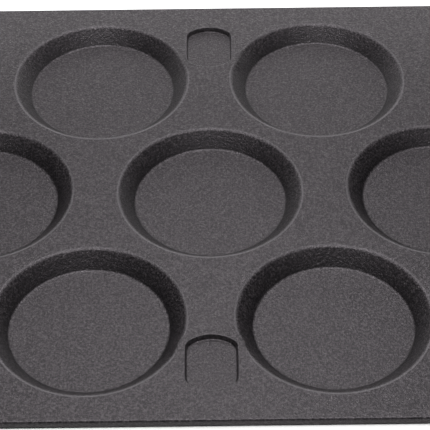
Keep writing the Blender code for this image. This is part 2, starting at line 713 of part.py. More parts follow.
def lid_handle():
    """Two half shells screwed together round the latch's pin, with a notch for the latch."""
    notch_low = (-LATCH_HALF_W - MM, PIVOT_Y - 30 * MM, LID_HANDLE_LOW - MM)
    notch_high = (LATCH_HALF_W + MM, PIVOT_Y + 7 * MM, LID_HANDLE_TOP + MM)
    pin_half = LATCH_HALF_W + 6 * MM
    halves = [("handle_lower_half", LID_HANDLE_LOW, LID_HANDLE_MID - GAP / 2),
              ("handle_upper_half", LID_HANDLE_MID + GAP / 2, LID_HANDLE_TOP)]
    for name, low_z, high_z in halves:
        half = paddle(name, HANDLE_REACH, low_z, high_z, HANDLE_HALF_W, WHITE, LOWER)
        notch = box(f"{name}_notch", notch_low, notch_high)
        pin_bore = rod(f"{name}_pin_bore", (-pin_half - GAP, PIVOT_Y, PIVOT_Z),
                       (pin_half + GAP, PIVOT_Y, PIVOT_Z), LATCH_PIN_R + GAP, steps=12)
        cut(half, notch, pin_bore)
        for side in (-1, 1):
            place = (side * HANDLE_SCREW_X, PIVOT_Y + HANDLE_SCREW_BACK)
            foot = Vector((*place, LID_HANDLE_LOW))
            bore = rod(f"{name}_bore_{side}", foot - Vector((0, 0, MM)),
                       foot + Vector((0, 0, 2 * MM)), SCREW_HEAD_R + GAP, steps=12)
            hole = rod(f"{name}_hole_{side}", foot - Vector((0, 0, MM)),
                       foot + Vector((0, 0, 14 * MM)), SCREW_HOLE_R, steps=8)
            cut(half, bore, hole)
    for i, side in enumerate((-1, 1)):
        foot = (side * HANDLE_SCREW_X, PIVOT_Y + HANDLE_SCREW_BACK, LID_HANDLE_LOW)
        tip = (side * HANDLE_SCREW_X, PIVOT_Y + HANDLE_SCREW_BACK, LID_HANDLE_LOW + 13 * MM)
        screw(f"handle_screw_{i + 1}", foot, tip, LOWER, 1.6 * MM)
    rod("latch_pin", (-pin_half, PIVOT_Y, PIVOT_Z), (pin_half, PIVOT_Y, PIVOT_Z), LATCH_PIN_R,
        STEEL, steps=12)


def latch():
    """Arm on the pin, with a hook that goes under the lower handle's front edge."""
    front = -(HOUSING_Y + BASE_HANDLE_REACH)
    hook_top = BASE_HANDLE_LOW - 0.6 * MM
    hook_low = hook_top - 4 * MM
    arm_back = front - 1.5 * MM
    arm_front = arm_back - 4.5 * MM
    arm = box("latch", (-LATCH_HALF_W, arm_front, hook_low), (LATCH_HALF_W, arm_back, PIVOT_Z),
              DARK_PLASTIC)
    barrel = rod("latch_barrel", (-LATCH_HALF_W, PIVOT_Y, PIVOT_Z), (LATCH_HALF_W, PIVOT_Y, PIVOT_Z),
                 5 * MM)
    hook = box("latch_hook", (-LATCH_HALF_W, arm_front, hook_low),
               (LATCH_HALF_W, front + 6 * MM, hook_top))
    tab = box("latch_tab", (-LATCH_HALF_W, arm_front - 5 * MM, hook_low),
              (LATCH_HALF_W, arm_back, hook_low + 3 * MM))
    bore = rod("latch_bore", (-2 * LATCH_HALF_W, PIVOT_Y, PIVOT_Z),
               (2 * LATCH_HALF_W, PIVOT_Y, PIVOT_Z), LATCH_PIN_R + GAP, steps=12)
    return cut(join(arm, barrel, hook, tab), bore)


def thermal_fuse():
    """Capsule fuse held against the back of the upper plate's front recess."""
    top_z = -(PLATE_T + RECESS_DEPTH + GAP)
    fuse_r = 3 * MM
    rod("thermal_fuse", (-9 * MM, -RECESS_Y, top_z - fuse_r), (9 * MM, -RECESS_Y, top_z - fuse_r),
        fuse_r, CERAMIC, UPPER_SHUT, 12)
    sensor_bracket("thermal_fuse_clip", -1, top_z - 2 * fuse_r, UPPER_SHUT)


# ---------------------------------------------------------------- assembly


def hang(pieces, name, place, turn):
    """Parents pieces to an empty on their joint's axis, and turns it about X."""
    pivot = bpy.data.objects.new(name, None)
    donut_maker.objects.link(pivot)
    pivot.matrix_world = Matrix.Translation(place)
    bpy.context.view_layer.update()
    for piece in pieces:
        stand = piece.matrix_world.copy()
        piece.parent = pivot
        piece.matrix_parent_inverse = Matrix.Translation(place).inverted()
        piece.matrix_world = stand
    pivot.rotation_euler.x = turn
    return pivot


def build_base():
    base_housing()
    base_cover()
    feet()
    cover_screws()
    baking_plate("lower", LOWER)
    reflector("lower", LOWER)
    heater("lower", LOWER)
    plate_screws("lower", LOWER)
    thermostat()
    cord_inlet()
    base_wiring()
    base_handle()


def build_lid():
    lid_frame()
    lid_cover()
    lamps()
    baking_plate("upper", UPPER_SHUT)
    reflector("upper", UPPER_SHUT)
    heater("upper", UPPER_SHUT)
    plate_screws("upper", UPPER_SHUT)
    thermal_fuse()
    lid_handle()


def made_by(build):
    """Runs a builder and returns every object that it adds, helpers included."""
    before = set(bpy.data.objects)
    build()
    return [piece for piece in bpy.data.objects if piece not in before]


build_base()
lid_leaves = hinges()
leaf_helpers = [piece for piece in cutters.objects if piece.name.startswith("lid_hinge")]
lid_pieces = made_by(build_lid)
latch_axis = LOWER @ Vector((0, PIVOT_Y, PIVOT_Z))
latch_pivot = hang(made_by(latch), "latch_pivot", latch_axis, -LATCH_OPEN)
hang(lid_pieces + lid_leaves + leaf_helpers + [latch_pivot], "lid_pivot", (0, HINGE_Y, HINGE_Z),
     -LID_OPEN)
for piece in donut_maker.objects:
    if piece.type == "MESH" and len(piece.data.polygons) > 8:
        piece.data.shade_smooth()
        piece.data.set_sharp_from_angle(angle=math.radians(35))
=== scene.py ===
"""Looks of the clamshell donut maker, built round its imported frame. Metres, +Z up."""

import json
import math

import bmesh
import bpy
from mathutils import Matrix, Vector


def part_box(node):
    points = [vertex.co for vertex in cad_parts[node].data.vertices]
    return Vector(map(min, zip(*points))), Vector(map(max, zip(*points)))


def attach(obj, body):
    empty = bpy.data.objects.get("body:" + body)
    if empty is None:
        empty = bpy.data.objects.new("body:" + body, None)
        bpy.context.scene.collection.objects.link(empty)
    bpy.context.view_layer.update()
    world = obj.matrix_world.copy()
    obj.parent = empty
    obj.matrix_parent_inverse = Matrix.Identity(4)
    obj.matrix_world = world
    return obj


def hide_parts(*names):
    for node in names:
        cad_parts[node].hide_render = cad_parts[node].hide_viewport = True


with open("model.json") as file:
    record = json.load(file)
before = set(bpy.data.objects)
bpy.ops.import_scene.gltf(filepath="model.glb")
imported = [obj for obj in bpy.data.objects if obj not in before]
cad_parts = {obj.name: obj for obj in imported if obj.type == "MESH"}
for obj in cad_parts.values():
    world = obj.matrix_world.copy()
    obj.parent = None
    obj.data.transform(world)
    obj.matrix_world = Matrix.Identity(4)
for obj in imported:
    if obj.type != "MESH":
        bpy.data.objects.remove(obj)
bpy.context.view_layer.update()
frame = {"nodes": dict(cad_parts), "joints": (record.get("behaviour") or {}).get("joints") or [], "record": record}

MM = 0.001

# ------------ places read from the frame

PLATE_LOW, PLATE_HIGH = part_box("lower_baking_plate")
HOUSING_LOW, HOUSING_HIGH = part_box("base_housing")
HINGE = next(joint for joint in frame["joints"] if joint["name"] == "lid_hinge")
LATCH_JOINT = next(joint for joint in frame["joints"] if joint["name"] == "latch_swing")

DECK_Z = PLATE_HIGH.z
MIDDLE_Y = (PLATE_LOW.y + PLATE_HIGH.y) / 2
PLATE_X = PLATE_HIGH.x
PLATE_Y = (PLATE_HIGH.y - PLATE_LOW.y) / 2
LID_ANGLE = math.radians(HINGE["range_deg"][1])
HINGE_POINT = Vector(HINGE["pos_m"])
DECK_GAP = 2 * (HINGE_POINT.z - DECK_Z)

# Deck frames: origin in the middle of a plate's face, -Z into its housing.
LOWER = Matrix.Translation((0, MIDDLE_Y, DECK_Z))
OPEN_LID = (
    Matrix.Translation(HINGE_POINT)
    @ Matrix.Rotation(-LID_ANGLE, 4, "X")
    @ Matrix.Translation(-HINGE_POINT)
)
UPPER_SHUT = Matrix.Translation((0, MIDDLE_Y, DECK_Z + DECK_GAP))
UPPER = OPEN_LID @ UPPER_SHUT @ Matrix.Rotation(math.pi, 4, "Y")
ACROSS = Matrix.Rotation(math.radians(90), 4, "Y")
REARWARD = Matrix.Rotation(math.radians(-90), 4, "X")

# ------------ sizes of the plates

WELL_R = 35 * MM
WELL_PITCH = 87 * MM
ROW_PITCH = 64.3 * MM
WELL_DEPTH = 6 * MM
FACE_EDGE = 0.8 * MM
BACK_EDGE = 0.5 * MM
LIP_START_R = 35.6 * MM
LIP_ROUND = 2.6 * MM
FLOOR_ROUND = 1.4 * MM
WALL_SLOPE = math.radians(46)
COLLAR = 0.4 * MM
PLATE_T = 3 * MM
PLATE_CORNER = 8 * MM
RECESS_R = 12.4 * MM
RECESS_HALF_W = 9.2 * MM
RECESS_Y = 84.7 * MM
RECESS_DEPTH = 2 * MM
RECESS_SLOPE = math.radians(75)
RECESS_ROUND = 0.4 * MM
RECESS_SOFT = 0.7 * MM
LIP_HOLD_OFF = 1.1 * MM
LIP_HOLD_OFF_REACH = 5 * MM
BACK_START_R = 37.8 * MM
BACK_ROUND = 1.6 * MM
TOLERANCE = 0.01 * MM
SEWN = 0.02 * MM
SLIVER = 0.004 * MM
# Pale line on the lips: rubbed coating and a painted highlight, stronger toward the front.
LIP_WEAR_AND_HIGHLIGHT_R = 35.1 * MM
LIP_WEAR_AND_HIGHLIGHT_WIDTH = 0.45 * MM
LIP_WEAR_AND_HIGHLIGHT_MEAN = 0.55
LIP_WEAR_AND_HIGHLIGHT_SWING = 0.4
# Painted shade down the walls of the wells, fading out below the lip and above the floor.
WALL_SHADE_FROM = 0.7 * MM
WALL_SHADE_FADE = MM
WALL_SHADE_FLOOR_FADE = 0.5 * MM
WELLS = [(side * WELL_PITCH / 2, row * ROW_PITCH) for row in (-1, 1) for side in (-1, 1)]
WELLS += [(side * WELL_PITCH, 0.0) for side in (-1, 0, 1)]
WELL_STEPS = 96
RECESS_STEPS = 72
CORNER_STEPS = 12


# ------------ node helpers


def linked(name, data):
    """A new object in the scene."""
    item = bpy.data.objects.new(name, data)
    bpy.context.scene.collection.objects.link(item)
    return item


class Nodes:
    """Adds nodes to a tree. A value that is a socket is linked, any other is set."""

    def __init__(self, tree):
        self.tree = tree

    def add(self, kind, settings=None, **values):
        node = self.tree.nodes.new(kind)
        for key, value in (settings or {}).items():
            setattr(node, key, value)
        for key, value in values.items():
            self.feed(node.inputs[key.replace("_", " ")], value)
        return node

    def feed(self, socket, value):
        if isinstance(value, bpy.types.NodeSocket):
            self.tree.links.new(value, socket)
        elif isinstance(value, list):
            for one in value:
                self.tree.links.new(one, socket)
        else:
            socket.default_value = value

    def math(self, operation, first, second=0.0, third=0.0):
        node = self.tree.nodes.new("ShaderNodeMath")
        node.operation = operation
        for socket, value in zip(node.inputs, (first, second, third)):
            self.feed(socket, value)
        return node.outputs[0]

    def vector(self, x=0.0, y=0.0, z=0.0):
        return self.add("ShaderNodeCombineXYZ", X=x, Y=y, Z=z).outputs[0]


class Shape(Nodes):
    """A geometry node tree whose sizes are named inputs."""

    def __init__(self, name, sizes):
        super().__init__(bpy.data.node_groups.new(name, "GeometryNodeTree"))
        face = self.tree.interface
        face.new_socket("Geometry", in_out="INPUT", socket_type="NodeSocketGeometry")
        face.new_socket("Geometry", in_out="OUTPUT", socket_type="NodeSocketGeometry")
        for label, value in sizes.items():
            kind = "NodeSocketInt" if isinstance(value, int) else "NodeSocketFloat"
            face.new_socket(label, in_out="INPUT", socket_type=kind)
        self.sizes = sizes
        self.entry = self.tree.nodes.new("NodeGroupInput")
        self.exit = self.tree.nodes.new("NodeGroupOutput")

    def size(self, label):
        return self.entry.outputs[label]

    def join(self, *parts):
        return self.add("GeometryNodeJoinGeometry", Geometry=list(parts)).outputs[0]

    def shift(self, geometry, x=0.0, y=0.0, z=0.0):
        move = self.add("GeometryNodeTransform", Geometry=geometry)
        self.feed(move.inputs["Translation"], self.vector(x, y, z))
        return move.outputs[0]

    def line(self, count, start, step):
        return self.add("GeometryNodeMeshLine", {"mode": "OFFSET"}, Count=count,
                        Start_Location=start, Offset=step).outputs[0]

    def copies(self, points, instance):
        return self.add("GeometryNodeInstanceOnPoints", Points=points,
                        Instance=instance).outputs[0]

    def realized(self, geometry):
        return self.add("GeometryNodeRealizeInstances", Geometry=geometry).outputs[0]

    def merged(self, distance, *parts):
        return self.add("GeometryNodeMergeByDistance", Geometry=self.join(*parts),
                        Distance=distance).outputs[0]

    def position(self):
        where = self.add("GeometryNodeInputPosition").outputs[0]
        return self.add("ShaderNodeSeparateXYZ", Vector=where).outputs

    def finish(self, geometry, material):
        painted = self.add("GeometryNodeSetMaterial", Geometry=self.realized(geometry),
                           Material=material)
        self.tree.links.new(painted.outputs[0], self.exit.inputs[0])

    def grow(self, name, seed_mesh):
        """The plain mesh that the tree makes of seed_mesh with its sizes."""
        host = linked(name + "_host", seed_mesh)
        modifier = host.modifiers.new("shape", "NODES")
        modifier.node_group = self.tree
        for item in self.tree.interface.items_tree:
            if item.in_out == "INPUT" and item.name in self.sizes:
                modifier[item.identifier] = self.sizes[item.name]
        graph = bpy.context.evaluated_depsgraph_get()
        mesh = bpy.data.meshes.new_from_object(host.evaluated_get(graph))
        bpy.data.objects.remove(host)
        mesh.name = name
        return mesh


# ------------ material helpers


class Paint(Nodes):
    """A Principled material being built. Its patterns run on Object coordinates."""

    def __init__(self, name, color, roughness, metallic=0.0, **shader_values):
        self.material = bpy.data.materials.new(name)
        self.material.use_nodes = True
        super().__init__(self.material.node_tree)
        self.shader = self.tree.nodes["Principled BSDF"]
        self.shader.inputs["Base Color"].default_value = (*color, 1.0)
        self.shader.inputs["Roughness"].default_value = roughness
        self.shader.inputs["Metallic"].default_value = metallic
        for key, value in shader_values.items():
            self.shader.inputs[key.replace("_", " ")].default_value = value
        self.place = self.tree.nodes.new("ShaderNodeTexCoord").outputs["Object"]

    def noise(self, scale, detail=2.0, roughness=0.5, place=None):
        node = self.add("ShaderNodeTexNoise", Vector=place or self.place, Scale=scale,
                        Detail=detail, Roughness=roughness)
        return node.outputs[0]

    def cells(self, scale, settings=None):
        return self.add("ShaderNodeTexVoronoi", settings, Vector=self.place, Scale=scale)

    def ramp(self, value, low, high, out_low=0.0, out_high=1.0):
        node = self.tree.nodes.new("ShaderNodeMapRange")
        for socket, number in zip(node.inputs, (value, low, high, out_low, out_high)):
            self.feed(socket, number)
        return node.outputs[0]

    def blend(self, factor, first, second):
        node = self.tree.nodes.new("ShaderNodeMix")
        node.data_type = "RGBA"
        for key, value in (("Factor_Float", factor), ("A_Color", first), ("B_Color", second)):
            socket = next(s for s in node.inputs if s.identifier == key)
            self.feed(socket, (*value, 1.0) if isinstance(value, tuple) else value)
        return next(s for s in node.outputs if s.identifier == "Result_Color")

    def color(self, socket):
        self.feed(self.shader.inputs["Base Color"], socket)

    def rough(self, socket):
        self.feed(self.shader.inputs["Roughness"], socket)

    def bump(self, height, distance, strength=1.0):
        node = self.add("ShaderNodeBump", Height=height, Distance=distance, Strength=strength)
        self.feed(self.shader.inputs["Normal"], node.outputs[0])


def non_stick_coating():
    """Dark sprayed coating: fine orange peel with pale and dark grains, and soft pale flecks."""
    paint = Paint("non_stick_coating", (0.030, 0.028, 0.030), 0.36, Specular_IOR_Level=0.32,
                  Specular_Tint=(1.0, 0.925, 0.985, 1.0))
    grain = paint.noise(1200, 3.0, 0.75)
    drift = paint.noise(16, 3.0)
    ground = paint.blend(paint.ramp(drift, 0.35, 0.65), (0.004, 0.0035, 0.0039),
                         (0.006, 0.0053, 0.0058))
    mottled = paint.blend(paint.ramp(grain, 0.44, 0.66), ground, (0.046, 0.0402, 0.0442))
    fleck = paint.cells(1300, {"feature": "F1"})
    kind = paint.add("ShaderNodeSeparateColor", Color=fleck.outputs["Color"]).outputs[0]
    spot = paint.ramp(fleck.outputs["Distance"], 0.10, 0.60, 1.0, 0.0)
    speck = paint.math("MULTIPLY", spot, paint.ramp(kind, 0.55, 1.0))
    flecked = paint.blend(speck, mottled, (0.060, 0.0545, 0.0555))
    wear = paint.add("ShaderNodeAttribute", {"attribute_name": "wear"}).outputs["Fac"]
    # Paler lips where the mark is above 0: rubbed coating and a painted highlight.
    worn_and_highlighted = paint.blend(paint.ramp(wear, 0.0, 1.0, 0.0, 0.8), flecked, (0.100, 0.094, 0.100))
    # Darker walls where the mark is below 0: painted shade in the wells.
    paint.color(paint.blend(paint.ramp(wear, 0.0, -1.0, 0.0, 0.85), worn_and_highlighted, (0.002, 0.0018, 0.002)))
    paint.rough(paint.ramp(grain, 0.38, 0.62, 0.44, 0.30))
    paint.bump(paint.math("ADD", grain, paint.math("MULTIPLY", speck, 0.4)), 0.20 * MM)
    return paint.material


def white_plastic():
    """Satin moulded plastic with a faint spark-eroded grain."""
    paint = Paint("white_plastic", (0.83, 0.83, 0.82), 0.34, Specular_IOR_Level=0.5)
    grain = paint.noise(1400, 2.0)
    drift = paint.noise(9, 2.0)
    paint.color(paint.blend(paint.ramp(drift, 0.35, 0.65), (0.82, 0.82, 0.81), (0.85, 0.85, 0.845)))
    paint.rough(paint.ramp(drift, 0.3, 0.7, 0.30, 0.38))
    paint.bump(grain, 0.02 * MM)
    return paint.material


def scaled(color, share):
    return tuple(min(1.0, part * share) for part in color)


def grained(name, color, vary, roughness, grain_scale, depth, metallic=0.0, **shader_values):
    """A finish whose tone drifts slowly and whose surface has a fine grain."""
    paint = Paint(name, color, roughness, metallic, **shader_values)
    grain = paint.noise(grain_scale, 3.0, 0.6)
    drift = paint.noise(45, 3.0)
    light, dark = scaled(color, 1 + vary), scaled(color, 1 - vary)
    toned = paint.blend(paint.ramp(drift, 0.32, 0.68), dark, light)
    paint.color(paint.blend(paint.ramp(grain, 0.62, 0.80, 0.0, 0.5), toned, dark))
    paint.rough(paint.ramp(drift, 0.3, 0.7, roughness * 0.86, min(1.0, roughness * 1.14)))
    paint.bump(grain, depth)
    return paint.material


def brushed(name, color, roughness, along):
    """Rolled metal with long fine scratches. along is the scale of the pattern on each axis."""
    paint = Paint(name, color, roughness, 1.0)
    stretched = paint.add("ShaderNodeVectorMath", {"operation": "MULTIPLY"})
    paint.feed(stretched.inputs[0], paint.place)
    stretched.inputs[1].default_value = along
    lines = paint.noise(1.0, 4.0, 0.7, stretched.outputs[0])
    drift = paint.noise(60, 2.0)
    dark = scaled(color, 0.72)
    paint.color(paint.blend(paint.ramp(lines, 0.35, 0.65), dark, color))
    paint.rough(paint.math("ADD", paint.ramp(lines, 0.3, 0.7, roughness - 0.08, roughness + 0.1),
                           paint.ramp(drift, 0.3, 0.7, -0.05, 0.05)))
    paint.bump(lines, 0.02 * MM)
    return paint.material


def spangled(name, color, roughness, scale):
    """Dipped sheet metal: flat crystals that differ a little in tone and gloss."""
    paint = Paint(name, color, roughness, 1.0)
    crystal = paint.cells(scale).outputs["Color"]
    tone = paint.add("ShaderNodeSeparateColor", Color=crystal).outputs[0]
    dark = scaled(color, 0.80)
    paint.color(paint.blend(tone, dark, color))
    paint.rough(paint.ramp(tone, 0.0, 1.0, roughness - 0.08, roughness + 0.10))
    paint.bump(paint.noise(900, 2.0), 0.01 * MM)
    return paint.material


def lens_plastic(name, color):
    """Clear coloured plastic with a fine prism pattern inside it."""
    paint = Paint(name, color, 0.12, Specular_IOR_Level=0.6, Coat_Weight=0.6, Coat_Roughness=0.05)
    prism = paint.cells(1100)
    deep = scaled(color, 0.45)
    edge = paint.ramp(prism.outputs["Distance"], 0.15, 0.55)
    paint.color(paint.blend(edge, color, deep))
    paint.rough(paint.ramp(paint.noise(300), 0.3, 0.7, 0.08, 0.16))
    paint.bump(edge, 0.03 * MM)
    return paint.material


FINISHES = {
    "non_stick_plate": non_stick_coating(),
    "white_housing": white_plastic(),
    "grey_plastic": grained("grey_plastic", (0.15, 0.15, 0.155), 0.06, 0.55, 1500, 0.03 * MM,
                            Specular_IOR_Level=0.35),
    "rubber_foot": grained("foot_rubber", (0.040, 0.040, 0.041), 0.18, 0.72, 1100, 0.06 * MM),
    "ceramic_body": grained("cream_ceramic", (0.70, 0.66, 0.55), 0.07, 0.62, 800, 0.05 * MM),
    "silicone_sleeve": grained("silicone_sleeve", (0.42, 0.085, 0.055), 0.12, 0.55, 1300,
                               0.05 * MM),
    "heater_tube": grained("heater_sheath", (0.17, 0.155, 0.145), 0.30, 0.55, 600, 0.04 * MM,
                           0.85),
    "hinge_steel": brushed("hinge_steel", (0.60, 0.60, 0.605), 0.30, (35, 900, 900)),
    "spring_steel": brushed("spring_steel", (0.50, 0.50, 0.49), 0.34, (40, 700, 700)),
    "screw_steel": spangled("zinc_plating", (0.66, 0.665, 0.65), 0.28, 500),
    "reflector_tray": spangled("aluminised_sheet", (0.70, 0.70, 0.69), 0.42, 130),
    "red_lens": lens_plastic("red_lens", (0.62, 0.018, 0.012)),
    "green_lens": lens_plastic("green_lens", (0.02, 0.42, 0.06)),
}


# ------------ mesh helpers


def finished(mesh, matrix, body, slot, *replaced):
    """A piece in its place: painted for its slot, on its body, standing for the CAD nodes."""
    mesh.transform(matrix)
    mesh.materials.clear()
    mesh.materials.append(FINISHES[slot])
    piece = linked(mesh.name, mesh)
    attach(piece, body)
    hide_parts(*replaced)


def smoothed(mesh, sharp=35):
    mesh.shade_smooth()
    mesh.set_sharp_from_angle(angle=math.radians(sharp))
    return mesh


def from_bmesh(name, bm, sharp=35):
    """A smooth-shaded mesh whose faces point out. The bmesh is used up."""
    bmesh.ops.remove_doubles(bm, verts=bm.verts, dist=0.001 * MM)
    bmesh.ops.recalc_face_normals(bm, faces=bm.faces)
    mesh = bpy.data.meshes.new(name)
    bm.to_mesh(mesh)
    bm.free()
    return smoothed(mesh, sharp)


def in_mm(points):
    return [(first * MM, second * MM) for first, second in points]


def arc(centre, radius, start, end, steps):
    """Points on an arc, angles in degrees, both ends included."""
    points = []
    for step in range(steps + 1):
        angle = math.radians(start + (end - start) * step / steps)
        points.append((centre[0] + radius * math.cos(angle), centre[1] + radius * math.sin(angle)))
    return points


def turned(profile, steps):
    """A bmesh turned about Z from (radius, z) points."""
    bm = bmesh.new()
    line = [bm.verts.new((radius, 0, z)) for radius, z in profile]
    edges = [bm.edges.new(pair) for pair in zip(line, line[1:])]
    bmesh.ops.spin(bm, geom=line + edges, cent=(0, 0, 0), axis=(0, 0, 1), dvec=(0, 0, 0),
                   angle=2 * math.pi, steps=steps, use_merge=True)
    bmesh.ops.remove_doubles(bm, verts=bm.verts, dist=1e-7)
    return bm


# ------------ baking plates


def drawn_down(start_r, top_round, depth, foot_round, slope, steps=8):
    """(offset, z) of a pressed hollow's side: a round lip, a sloping wall and a round foot."""
    degrees = math.degrees(slope)
    lip = arc((start_r, -top_round), top_round, 90, 90 + degrees, steps)
    drop = depth + lip[-1][1] - foot_round * (1 - math.cos(slope))
    foot_r = lip[-1][0] - drop / math.tan(slope) - foot_round * math.sin(slope)
    foot = arc((foot_r, foot_round - depth), foot_round, degrees - 90, -90, steps - 2)
    return [*lip, *foot]


def well_profile(start_r, top_round, depth):
    """(radius, z) from a flat collar on the deck down to the middle of the floor."""
    side = drawn_down(start_r, top_round, depth, FLOOR_ROUND, WALL_SLOPE)
    floor_r = side[-1][0]
    floor = [(floor_r - COLLAR, -depth), (floor_r / 2, -depth), (0, -depth)]
    return [(start_r + COLLAR, 0), *side, *floor]


def recess_outline(grow, z):
    """A circle with flattened left and right sides, moved outwards by grow."""
    points = []
    half_w = RECESS_HALF_W + grow
    for step in range(RECESS_STEPS):
        angle = 2 * math.pi * (step + 0.5) / RECESS_STEPS
        x = (RECESS_R + grow) * math.cos(angle)
        over = RECESS_SOFT * math.log1p(math.exp((abs(x) - half_w) / RECESS_SOFT))
        y = (RECESS_R + grow) * math.sin(angle)
        points.append((math.copysign(abs(x) - over, x), y, z))
    return points


def rounded_outline(half_x, half_y, radius, z, steps):
    points = []
    for corner, (side_x, side_y) in enumerate([(1, 1), (-1, 1), (-1, -1), (1, -1)]):
        middle = (side_x * (half_x - radius), side_y * (half_y - radius))
        for x, y in arc(middle, radius, 90 * corner, 90 * corner + 90, steps):
            points.append((x, y, z))
    return points


def lofted(outlines, first_cap=False, last_cap=False, closed=False):
    """A bmesh skin over outlines of equal length, with caps where asked."""
    bm = bmesh.new()
    rings = [[bm.verts.new(point) for point in outline] for outline in outlines]
    pairs = list(zip(rings, rings[1:])) + ([(rings[-1], rings[0])] if closed else [])
    for low, high in pairs:
        for i in range(len(low)):
            j = (i + 1) % len(low)
            bm.faces.new((low[i], low[j], high[j], high[i]))
    if first_cap:
        bm.faces.new(rings[0])
    if last_cap:
        bm.faces.new(rings[-1])
    return bm


def lips_held_off(shape, wells, middle):
    """The wells, with their lips pushed aside in X where they come close to a recess."""
    place = shape.position()
    along = shape.math("SUBTRACT", shape.math("ABSOLUTE", place[1]), middle)
    from_middle = shape.math("SQRT", shape.math("MULTIPLY_ADD", along, along,
                                                shape.math("MULTIPLY", place[0], place[0])))
    from_side = shape.math("SUBTRACT", shape.math("ABSOLUTE", place[0]), RECESS_HALF_W)
    away = shape.math("MAXIMUM", from_side, shape.math("SUBTRACT", from_middle, RECESS_R))
    push = shape.add("ShaderNodeMapRange", {"interpolation_type": "SMOOTHSTEP"}, Value=away,
                     From_Min=0.0, From_Max=LIP_HOLD_OFF_REACH, To_Min=LIP_HOLD_OFF,
                     To_Max=0.0).outputs[0]
    aside = shape.math("MULTIPLY", push, shape.math("SIGN", place[0]))
    return shape.add("GeometryNodeSetPosition", Geometry=wells,
                     Offset=shape.vector(aside)).outputs[0]


def plate_tree(recess, rim):
    """Sheet with seven hollows in rows of two, three and two, and two recesses between them.

    The hollow is the tree's own geometry. Fill Curve closes the flat sheet between the open
    edges that lie at its level, so every piece is sewn to it point by point.
    """
    shape = Shape("seven_well_sheet", {
        "Well Pitch": WELL_PITCH, "Row Pitch": ROW_PITCH, "Recess Middle": RECESS_Y,
    })
    pitch, row = shape.size("Well Pitch"), shape.size("Row Pitch")
    step = shape.vector(pitch)
    rows = []
    for count, first, side in ((2, -0.5, -1), (3, -1.0, 0), (2, -0.5, 1)):
        start = shape.vector(shape.math("MULTIPLY", pitch, first),
                             shape.math("MULTIPLY", row, side))
        rows.append(shape.line(count, start, step))
    wells = shape.realized(shape.copies(shape.join(*rows), shape.entry.outputs[0]))
    whole = shape.add("GeometryNodeObjectInfo", Object=rim).outputs["Geometry"]
    if recess:
        middle = shape.size("Recess Middle")
        pad = shape.add("GeometryNodeObjectInfo", Object=recess).outputs["Geometry"]
        whole = shape.join(whole, lips_held_off(shape, wells, middle), shape.shift(pad, y=middle),
                           shape.shift(pad, y=shape.math("MULTIPLY", middle, -1.0)))
    else:
        whole = shape.join(whole, wells)

    faces = shape.add("GeometryNodeInputMeshEdgeNeighbors").outputs[0]
    height = shape.position()[2]
    level = shape.math("LESS_THAN", shape.math("ABSOLUTE", height), TOLERANCE)
    single = shape.math("LESS_THAN", faces, 1.5)
    open_edges = shape.add("GeometryNodeMeshToCurve", Mesh=whole,
                           Selection=shape.math("MULTIPLY", level, single)).outputs[0]
    sheet = shape.add("GeometryNodeFillCurve", Curve=open_edges).outputs[0]
    shape.finish(shape.merged(SEWN, whole, sheet), FINISHES["non_stick_plate"])
    return shape


def sensor_recess():
    """A helper object: the hollow that the tree repeats at the front and at the rear."""
    side = drawn_down(RECESS_ROUND, RECESS_ROUND, RECESS_DEPTH, RECESS_ROUND, RECESS_SLOPE, 5)
    rings = [recess_outline(RECESS_ROUND + COLLAR, 0)]
    rings += [recess_outline(offset, z) for offset, z in side]
    rings.append(recess_outline(side[-1][0] - COLLAR, -RECESS_DEPTH))
    return linked("recess", from_bmesh("recess", lofted(rings, last_cap=True)))


def plate_sheet(name, side, hollow_start, top_round, rim_round, recess=None):
    """One side of the cast plate with its half of the outer edge. side is 1 for the face."""
    outlines = [rounded_outline(PLATE_X, PLATE_Y, PLATE_CORNER, -side * PLATE_T / 2,
                                CORNER_STEPS)]
    insets = arc((rim_round, -rim_round), rim_round, 180, 90, 5) + [(rim_round + COLLAR, 0)]
    for inset, z in insets:
        outlines.append(rounded_outline(PLATE_X - inset, PLATE_Y - inset, PLATE_CORNER - inset,
                                        side * z, CORNER_STEPS))
    rim = linked("plate_rim", from_bmesh("plate_rim", lofted(outlines)))
    profile = well_profile(hollow_start, top_round, WELL_DEPTH)
    well = from_bmesh("well", turned(profile, WELL_STEPS))
    mesh = plate_tree(recess, rim).grow(name, well)
    bpy.data.objects.remove(rim)
    return mesh


